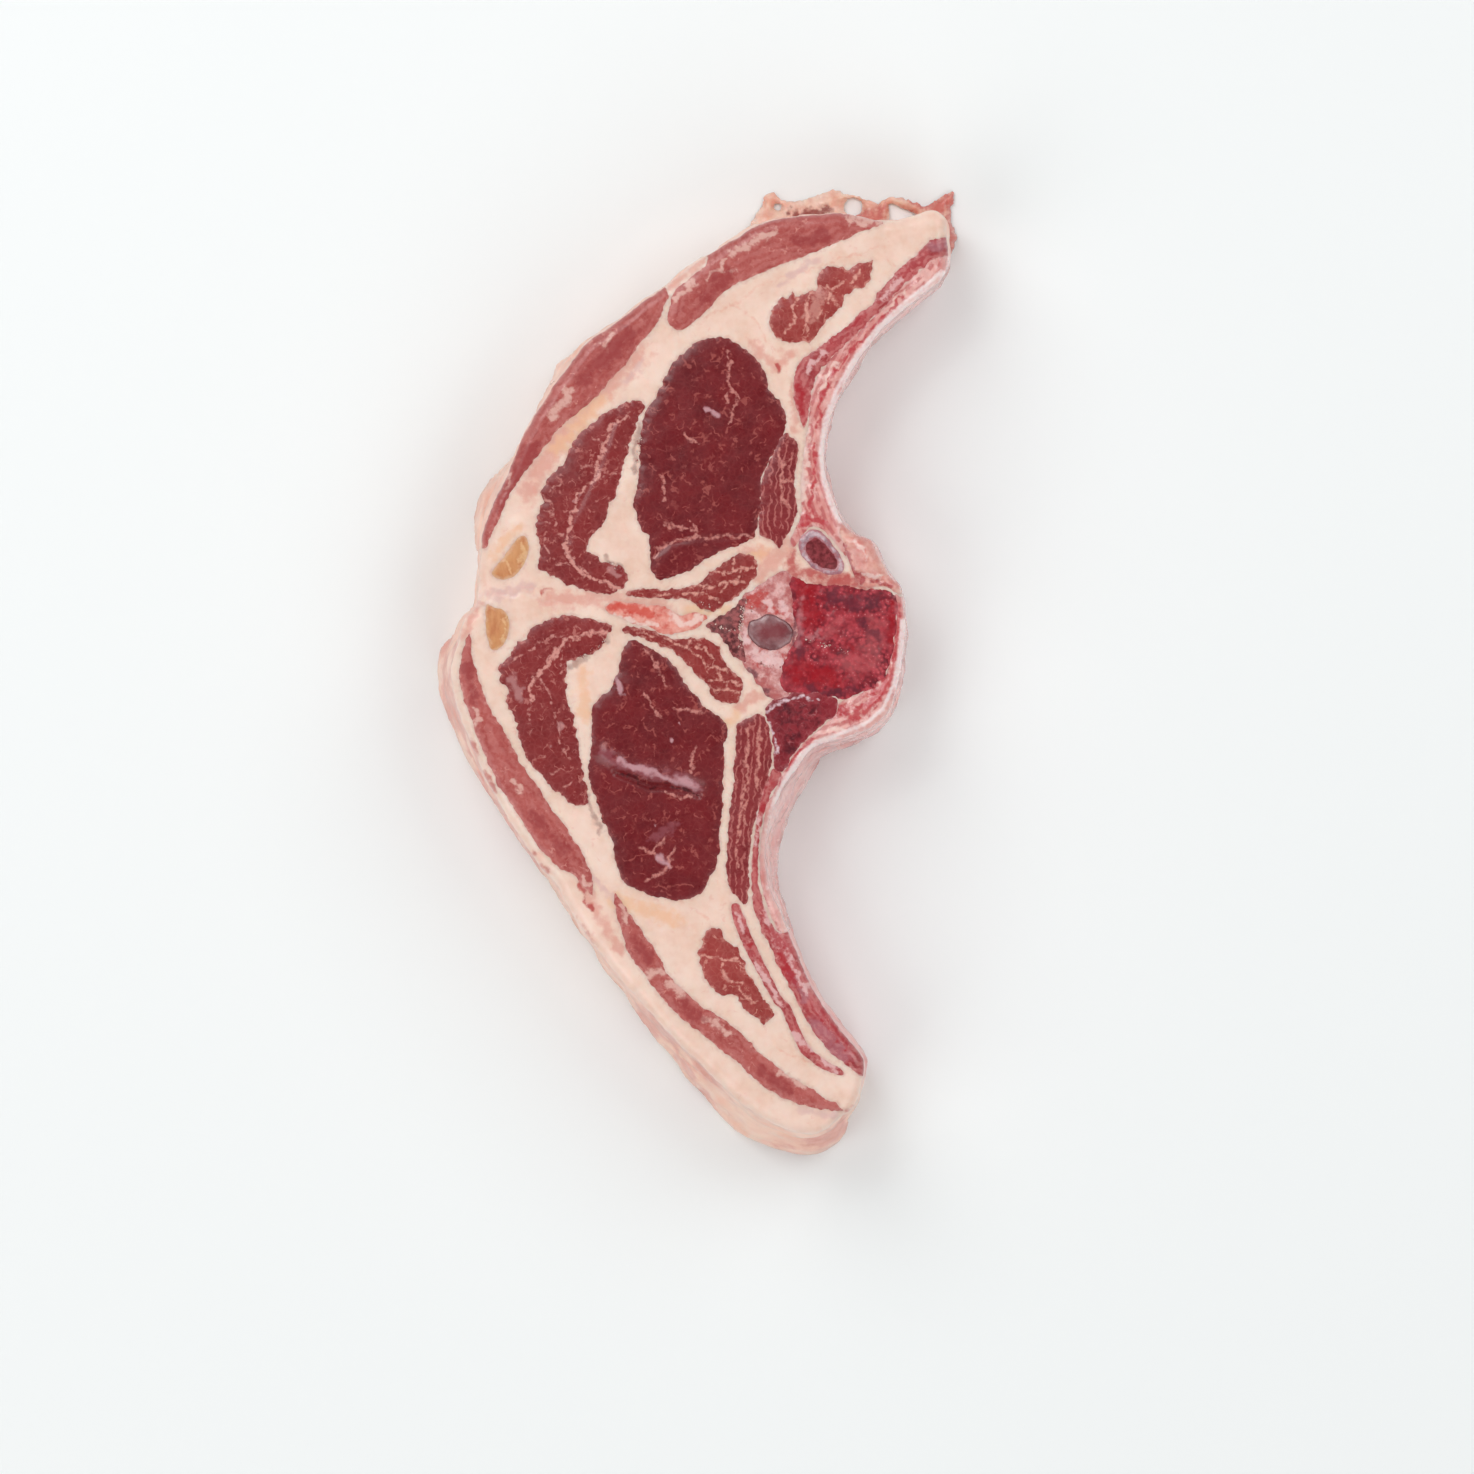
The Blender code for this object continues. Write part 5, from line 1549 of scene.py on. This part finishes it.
LINING_RIGHT = [
    (36, 9), (32.4, 12.6), (31.5, 13.2), (31.7, 10), (31.4, 6), (30.6, 2.4), (29.6, 0), (28, -1.4),
    (26, -2.6), (23.6, -3.6), (22.4, -4.4), (21.9, -6), (20.2, -7.6), (18.5, -9.1), (17, -10.5),
    (15.5, -12), (14.3, -14), (13.2, -15.6), (12.2, -18), (10.8, -20.6), (10.1, -24), (9.7, -28),
    (9.7, -32), (10.4, -35.5), (11.6, -39), (13, -41.2), (17, -41.4), (18, -30), (20, -21), (26, -15),
    (34, -9), (37, -2),
]
raise_tissue(
    "cavity_lining_right", "lining_right", LINING_RIGHT, (0.18, 1.4, 39), cavity_lining,
    crown=0.2,
    relief=lambda plan: (
        0.55 * strokes((1.3, [(31, 1), (28.6, -4), (24, -7), (20.6, -9)]))(plan)
            - 0.4 * strokes((0.5, [(21.8, -4.6), (23.4, -7), (22.4, -8.4)]))(plan)
            + 0.15 * ripple(plan, 2.0, 40, 2)
    ),
    layers={
        # Line of the pale edge and its painted highlight.
        "pale_edge_and_highlight_gap": distance_to(
            [
                (32.6, 9), (32.1, 3), (31.2, -1.4), (29.4, -5.2), (26.6, -7.6), (22.6, -9.2),
                (18.8, -10.4), (16.4, -12.4), (14, -16), (11.9, -20.2), (10.8, -24.6), (10.5, -29),
                (11, -34),
            ]
        ),
        "cream": [
            (0.9, [(24.6, -6.4), (27.4, -5.2)]), (0.4, [(21, -8.6), (24, -8.4)]),
            (0.4, [(31.6, 9), (31.6, 4)]),
        ],
        "raw": [
            (1.5, [(22.6, -5.4), (25, -6.4), (28, -4), (30.6, 0)]),
            (0.5, [(18, -10), (14.8, -14), (12.4, -18.6)]), (0.9, [(31.6, 12), (31.8, 7), (31.2, 3)]),
        ],
    },
)


# ----------------------------------------------------------
# Fat
#
# Firm cream fat holds everything and takes what the other tissues leave. Near the lean it is pinker,
# round the spur it is wet and streaked, and at the back it slumps into a soft skirt veined with pink.

firm_fat, tree, place = wet_material("Fat", 0.36, 0.36, 0.38, 1.8, bump=0.4, grain_size=1.1)
cloudy = clouds(tree, place, 6.0, 0.2, 45.0)
fine = clouds(tree, place, 1.5, 0.22, 46.0)
veins = use(tree, marbling_group, place, reach=3.2, thread_width=0.03, cover=0.35, seed=47.0)
border = follow(tree, line_group, place, "border_gap", half_width=0.18, softness=0.45, fray=0.35)
colour = blend(tree, cloudy, shade(232, 194, 175), shade(243, 212, 197))
colour = over(
    tree, colour, (fine, 0.35, shade(248, 225, 212)), (veins, 0.22, shade(222, 150, 138)),
    (border, 0.5, shade(216, 156, 144)),
)
traced = follow(tree, line_group, place, "vein_gap", half_width=0.06, softness=0.3, fray=0.22)
colour = over(tree, colour, (traced, 0.4, shade(226, 146, 122)))
# The grey tone lies as smudges in the fat along some muscles' edges.
FAT_STAINS = (
    ("blush", 50.0, 0.75, shade(222, 158, 144)), ("peach", 51.0, 0.7, shade(238, 188, 152)),
    ("pearl", 52.0, 0.8, shade(223, 184, 177)), ("flesh", 53.0, 0.85, shade(196, 108, 102)),
    ("raw", 54.0, 0.85, shade(184, 62, 62)), ("grime", 55.0, 0.6, shade(150, 110, 104)),
)
colour = stained(tree, place, colour, *((*stain, 1.3, 0.2, 0.9) for stain in FAT_STAINS))
paint(tree, skinned(tree, colour))

raise_tissue(
    "fat_and_skirt", "fat_body", rim, None, firm_fat, crown=0.0,
    relief=lambda plan: (
        0.22 * ripple(plan, 4.5, 41, 2)
            - 0.25 * strokes((0.5, [(-36, 10.6), (-33, 13.4), (-28, 13.6), (-24, 12.4)]))(plan)
    ),
    layers={
        "blush": [
            (1.6, [(-25, 12.6), (-16, 12.6), (-6, 11.8)]), (1.2, [(3, 13.6), (8, 20.6), (13, 19)]),
            (1.4, [(9.5, 16), (12, 20)]), (1.2, [(13, 50.5), (14.4, 52)]),
            (1.0, [(-4.6, 63), (0.4, 66.6)]), (1.0, [(8, 54), (12, 50)]), (1.2, [(6.4, -5), (9.6, -3)]),
            (1.5, [(10, 17), (14, 20.4)]), (1.2, [(24.6, 21), (25, 17.6)]),
            (1.0, [(22, 15.8), (25.4, 16)]), (1.6, [(11, 23.4), (14.6, 21)]),
            (0.8, [(-38.6, 6), (-35.6, 12)]), (1.0, [(-21, -27), (-17, -37), (-13, -44)]),
            (0.8, [(15.4, 40), (14.8, 47)]), (2.4, [(-28, 30), (-20, 42), (-10, 52)]),
        ],
        "peach": [
            (1.6, [(-23, 37), (-16, 44.6)]), (1.4, [(-19, 1), (-18.6, -6)]),
            (1.6, [(-14, -36), (-4, -39)]), (1.2, [(4, -8), (5.4, -6)]), (1.4, [(2, 13.4), (10, 20)]),
            (1.2, [(-29.6, 24), (-33, 20)]), (1.0, [(-2, 10.6), (4, 10.8)]),
        ],
        "pearl": [
            (1.3, [(-33.6, 13), (-30.4, 13.8), (-27.4, 14.4)]), (0.6, [(-12, 47.6), (-9, 51)]),
            (0.6, [(-19, -30.6), (-12.6, -37.4)]), (0.8, [(16, -69.6), (21.6, -71)]),
            (0.6, [(13, 63.4), (19, 67.4)]),
        ],
        "vein_gap": seam_gap(
            [
                (-1, 56.5), (2, 58.6), (5.7, 59.9), (7.4, 61.6), (9.7, 63.3), (14, 64.6), (18.7, 66.1),
                (24, 67.8), (29.4, 69.5),
            ],
            [(9.1, 57.1), (10.8, 54.3), (12.4, 52.4)], [(5.7, 59.9), (8, 58.4), (9.1, 57.1)],
            [(29.4, 69.5), (30, 67.4), (31.4, 66.2)], [(-22.6, 38.4), (-27, 32.4)],
            [(-1, -37.4), (2, -39.6)], [(12.6, -60), (16, -61.6), (18.6, -62.4)],
            [(-21, 11.8), (-18, 12.2), (-16.4, 12.8)],
        ),
        "flesh": [
            (0.5, [(-38.2, -8), (-33, -19)]), (0.5, [(-25.4, -32), (-20.6, -38.4), (-15, -46.6)]),
            (0.5, [(-27.6, -28.4), (-24.4, -31.6)]), (0.6, [(-2, -62), (6, -70.4)]),
            (0.6, [(14, -75.4), (20, -75)]), (0.5, [(24.4, -69), (23.6, -72)]),
        ],
        "raw": [
            (0.35, [(-13.6, 14.6), (-12.8, 15.2)]),
            (1.5, [(15.2, 17.4), (18, 16.1), (22, 15.4), (26.4, 15)]), (0.6, [(16.4, 24.8), (18.8, 25)]),
            (0.9, [(14.6, 18), (15.2, 20.4)]), (0.5, [(-19.2, -34), (-17.4, -37.6)]),
            (0.35, [(12.4, 50.2), (13, 49.6)]), (0.3, [(-25.6, 13.6), (-24.4, 14)]),
        ],
        # Grey smudges in the fat along some muscles' edges.
        "grime": [
            (0.6, [(-9.4, 41), (-10.6, 37.4), (-10.4, 33)]), (0.5, [(-15, 18.8), (-13, 18)]),
            (0.7, [(-16, 7.4), (-14.6, 6)]), (0.6, [(-21, 1.6), (-18.4, 3.2)]),
            (0.5, [(-18.6, -18), (-17.8, -21), (-16, -25)]), (0.5, [(-1, 12.3), (2, 11)]),
        ],
    },
)


# ----------------------------------------------------------
# Torn tip
#
# Behind the left flank's tip a thin torn flap of pink tissue and fat spreads flat on the surface, with
# a few holes in it and a ragged edge.

material, tree, place = wet_material("Torn tissue", 0.28, 0.5, 0.4, 1.2, bump=0.6, grain_size=0.9)
cloudy = clouds(tree, place, 2.4, 0.18, 56.0)
fine = clouds(tree, place, 0.9, 0.18, 57.0)
colour = blend(tree, cloudy, shade(232, 176, 156), shade(244, 210, 192))
colour = over(tree, colour, (fine, 0.22, shade(214, 136, 120)))
colour = stained(
    tree, place, colour, ("red", 60.0, 0.8, shade(196, 84, 78), 1.0, 0.15, 0.9),
    ("raw", 58.0, 0.85, shade(140, 50, 48), 1.0, 0.25, 0.8),
    ("cream", 59.0, 0.5, shade(236, 196, 172), 1.0, 0.3, 0.8),
)
paint(tree, colour)

FLAP = [
    (8.6, 73.4), (9, 75.6), (10.2, 77.6), (10.6, 79), (12, 79.4), (13, 78.4), (15.4, 78), (18, 78.6),
    (20, 79.3), (21.5, 79.9), (23.5, 79.4), (25, 78.9), (27.4, 78.2), (29, 77.6), (30.6, 78.4), (33, 78.5),
    (35.4, 77.6), (37, 77.2), (39, 78.4), (41.4, 79.5), (41.2, 77), (40.8, 75), (41.6, 73.4), (42, 72),
    (41.4, 70.6), (40.8, 68.6), (39.4, 67), (37, 69), (33, 71), (22, 72), (14, 71.4),
]
FLAP_HOLES = [
    [(25 + 1.5 * np.cos(turn), 77.1 + 1.5 * np.sin(turn)) for turn in np.arange(0, 2 * np.pi, 0.7)],
    [(31, 77.6), (33, 76.9), (35.2, 75.8), (33, 75), (31.2, 74.6), (30.9, 76)],
    [(12.2, 77.6), (13.2, 77.4), (13, 76.6), (12, 76.8)],
]
FLAP_EDGE = 0.25
FLAP_SWELL = 1.5
FLAP_ROOT_SWELL = 1.6
FLAP_ROOT_END = 77
flap_loops = [frayed(round_loop(FLAP), 0.35, 0.9, 42)]
flap_loops += [frayed(round_loop(hole), 0.12, 0.8, 43) for hole in FLAP_HOLES]
low, high = flap_loops[0].min(0), flap_loops[0].max(0)
flap_field = np.meshgrid(np.arange(low[0], high[0], MESH_STEP), np.arange(low[1], high[1], MESH_STEP))
plan, triangles, edges = mesh_inside(flap_loops, np.stack(flap_field, -1).reshape(-1, 2), {0}, 1e-4)
count = len(plan)
edge_gap = edge_distance(plan, plan[edges[:, 0]], plan[edges[:, 1]])[0]
thick = FLAP_EDGE + FLAP_SWELL * (1 - np.exp(-edge_gap / 0.9)) * (1 + 0.35 * ripple(plan, 3.0, 44, 2))
root = np.clip((FLAP_ROOT_END - plan[:, 1]) / 4, 0, 1)
thick += FLAP_ROOT_SWELL * root * (1 - np.exp(-edge_gap / 0.8))
vertices = np.vstack([np.column_stack([plan, thick]), np.column_stack([plan, np.zeros(count)])])
vertices[:, :2] -= DRAWING_MIDDLE
faces = triangles.tolist() + (triangles[:, ::-1] + count).tolist()
faces += [[b, a, a + count, b + count] for a, b in edges.tolist()]
FLAP_STAINS = {
    "raw": [(1.5, [(15.6, 75.4), (20.6, 76)])],
    "red": [
        (1.8, [(26.6, 75.4), (29.6, 76)]), (2.4, [(34.6, 77), (39.6, 76.8), (41, 79)]),
        (2.0, [(41, 75), (40.8, 70)]),
    ],
    "cream": [
        (1.0, [(11, 77.6), (12, 76)]), (1.0, [(21.6, 78.4), (24, 78.4)]), (0.8, [(32, 77.6), (36, 76.4)]),
    ],
}
stains = {name: np.tile(strokes(*drawn)(plan), 2) for name, drawn in FLAP_STAINS.items()}
as_piece("torn_tip", vertices, faces, 70, stains, material)


# ----------------------------------------------------------
# Saw crumbs
#
# The saw leaves wet crumbs of bone and fat on the cut, most of them round the canal and the arch and
# along the spur. Each is a sharp little chip a fraction of a millimetre across.

CRUMB_RADIUS = 0.12 * MM

crumb_tree = bpy.data.node_groups.new("Scattered crumbs", "GeometryNodeTree")
crumb_tree.interface.new_socket("Geometry", in_out="INPUT", socket_type="NodeSocketGeometry")
sockets = {}
for key, kind, value in (
    ("Number Per Square Metre", "NodeSocketFloat", 1.0e6), ("Smallest", "NodeSocketFloat", 0.5),
    ("Largest", "NodeSocketFloat", 1.6), ("Seed", "NodeSocketInt", 7),
    ("Finish", "NodeSocketMaterial", None),
):
    sockets[key] = crumb_tree.interface.new_socket(key, in_out="INPUT", socket_type=kind)
    if value is not None:
        sockets[key].default_value = value
crumb_tree.interface.new_socket("Geometry", in_out="OUTPUT", socket_type="NodeSocketGeometry")
give = crumb_tree.nodes.new("NodeGroupInput").outputs
scattered = add(
    crumb_tree, "GeometryNodeDistributePointsOnFaces",
    {"Mesh": give["Geometry"], "Density": give["Number Per Square Metre"], "Seed": give["Seed"]},
)
chip = add(crumb_tree, "GeometryNodeMeshIcoSphere", {"Radius": CRUMB_RADIUS, "Subdivisions": 1})
turned = add(
    crumb_tree, "FunctionNodeRandomValue", {0: (0, 0, 0), 1: (6.3, 6.3, 6.3), "Seed": give["Seed"]},
    data_type="FLOAT_VECTOR",
)
stretch = add(
    crumb_tree, "FunctionNodeRandomValue", {0: (0.7, 0.7, 0.5), 1: (1.5, 1.1, 0.8), "Seed": 11},
    data_type="FLOAT_VECTOR",
)
sized = add(
    crumb_tree, "FunctionNodeRandomValue", {2: give["Smallest"], 3: give["Largest"], "Seed": 12},
    data_type="FLOAT",
)
placed = add(
    crumb_tree, "GeometryNodeInstanceOnPoints",
    {
        "Points": scattered.outputs[0],
        "Instance": chip.outputs[0],
        "Rotation": turned.outputs[0],
        "Scale": places(crumb_tree, "SCALE", {0: stretch.outputs[0], "Scale": sized.outputs[1]}),
    },
)
real = add(crumb_tree, "GeometryNodeRealizeInstances", {0: placed.outputs[0]})
finished = add(
    crumb_tree, "GeometryNodeSetMaterial", {"Geometry": real.outputs[0], "Material": give["Finish"]},
)
crumb_tree.links.new(finished.outputs[0], crumb_tree.nodes.new("NodeGroupOutput").inputs[0])

material, tree, place = wet_material("Bone crumb", 0.35, 0.5, 0.1, 0.3)
tone = clouds(tree, place, 0.7, 0.1, 90.0)
paint(tree, blend(tree, tone, shade(150, 70, 70), shade(232, 206, 196)))

CRUMBS_PER_SQUARE_METRE = 6.0e6
CRUMB_STRIP = 0.35
CRUMB_HEIGHT = 0.12
CRUMB_GROUND = [
    [(1.6, 8.6), (4.6, 7.4), (6.6, 8), (7, 12), (6.4, 4.2)], [(7.4, 12.6), (8.6, 10.4)],
    [(9, 2.4), (13, 1.6)], [(-1, 12.3), (2.4, 11)], [(-14.6, 18.6), (-12.4, 17)],
    [(-9.6, 39), (-10.4, 33)], [(-20, 2.4), (-15.4, 6)], [(17, 6), (24, 4)],
]
corners, faces = [], []
for line in CRUMB_GROUND:
    for (ax, ay), (bx, by) in zip(line[:-1], line[1:]):
        side = np.array([ay - by, bx - ax]) / np.hypot(bx - ax, by - ay) * CRUMB_STRIP
        faces.append([len(corners) + k for k in range(4)])
        corners += [(ax, ay) - side, (bx, by) - side, (bx, by) + side, (ax, ay) + side]
corners = np.array(corners)
vertices = np.column_stack([corners, face_height(corners, FACE_WAVES[:2]) + CRUMB_HEIGHT])
vertices[:, :2] -= DRAWING_MIDDLE
mesh = bpy.data.meshes.new("crumb_ground")
mesh.from_pydata((vertices * MM).tolist(), [], faces)
ground = put("crumb_ground", mesh)
modifier = ground.modifiers.new("Scattered crumbs", "NODES")
modifier.node_group = crumb_tree
modifier[sockets["Number Per Square Metre"].identifier] = CRUMBS_PER_SQUARE_METRE
modifier[sockets["Finish"].identifier] = material
scattered = ground.evaluated_get(bpy.context.evaluated_depsgraph_get())
crumbs = put("saw_crumbs", bpy.data.meshes.new_from_object(scattered))
ground.modifiers.remove(modifier)
bpy.data.objects.remove(ground)
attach(crumbs, "root")


# ----------------------------------------------------------
# Floor, light and camera
#
# A pale floor under four broad soft lights, and a camera straight above the middle of the cut face.

FLOOR_HALF = 3.0
FLOOR_DROP = 0.0002
corners = [(x * FLOOR_HALF, y * FLOOR_HALF, -FLOOR_DROP) for x, y in ((-1, -1), (1, -1), (1, 1), (-1, 1))]
mesh = bpy.data.meshes.new("floor")
mesh.from_pydata(corners, [], [(0, 1, 2, 3)])
material = bpy.data.materials.new("Pale floor")
material.use_nodes = True
surface = material.node_tree.nodes["Principled BSDF"]
surface.inputs["Base Color"].default_value = shade(243, 246, 246)
surface.inputs["Roughness"].default_value = 0.6
mesh.materials.append(material)
put("floor", mesh)

# Soft lights stand round the chop, (turn about it in degrees, power in watts), and a small one gives it
# its wet gloss: (name, direction, size, power).
LIGHT_REACH = 0.75
SOFT_LIGHTS = ((35, 1.80), (125, 2.07), (215, 1.80), (305, 1.53))
SOFT_LIGHT_RISE = 0.95
SOFT_LIGHT_SIZE = 0.5
GLOSS_LIGHT = ("gloss_light", (-0.30, 0.34, 0.9), 0.22, 0.5)
lights = []
for turn, power in SOFT_LIGHTS:
    direction = (np.cos(np.radians(turn)), np.sin(np.radians(turn)), SOFT_LIGHT_RISE)
    lights.append(("soft_light_%d" % turn, direction, SOFT_LIGHT_SIZE, power))
lights.append(GLOSS_LIGHT)
for name, direction, size, power in lights:
    data = bpy.data.lights.new(name, "AREA")
    data.shape = "SQUARE"
    data.size = size
    data.energy = power
    light = put(name, data)
    away = Vector(direction).normalized()
    light.location = away * LIGHT_REACH
    light.rotation_euler = away.to_track_quat("Z", "Y").to_euler()

ROOM_LIGHT = 0.56
world = bpy.data.worlds.new("Soft room")
world.use_nodes = True
tree = world.node_tree
direction = add(tree, "ShaderNodeTexCoord").outputs["Generated"]
height = between(tree, add(tree, "ShaderNodeSeparateXYZ", {0: direction}).outputs[2], 0.15, 0.8)
tree.links.new(
    blend(tree, height, shade(236, 236, 235), shade(96, 96, 96)), tree.nodes["Background"].inputs["Color"],
)
tree.nodes["Background"].inputs["Strength"].default_value = ROOM_LIGHT
bpy.context.scene.world = world

VIEW_WIDTH = 237.7
VIEW_MIDDLE = (5.97, -9.68)
LONG_LENS = 200
data = bpy.data.cameras.new("camera")
data.lens = LONG_LENS
data.clip_start = 0.05
camera = put("camera", data)
aim = np.array(VIEW_MIDDLE) - DRAWING_MIDDLE
stand_off = VIEW_WIDTH * MM * data.lens / data.sensor_width
camera.location = (aim[0] * MM, aim[1] * MM, THICKNESS * MM + stand_off)
bpy.context.scene.camera = camera
bpy.context.scene.view_settings.view_transform = "Standard"
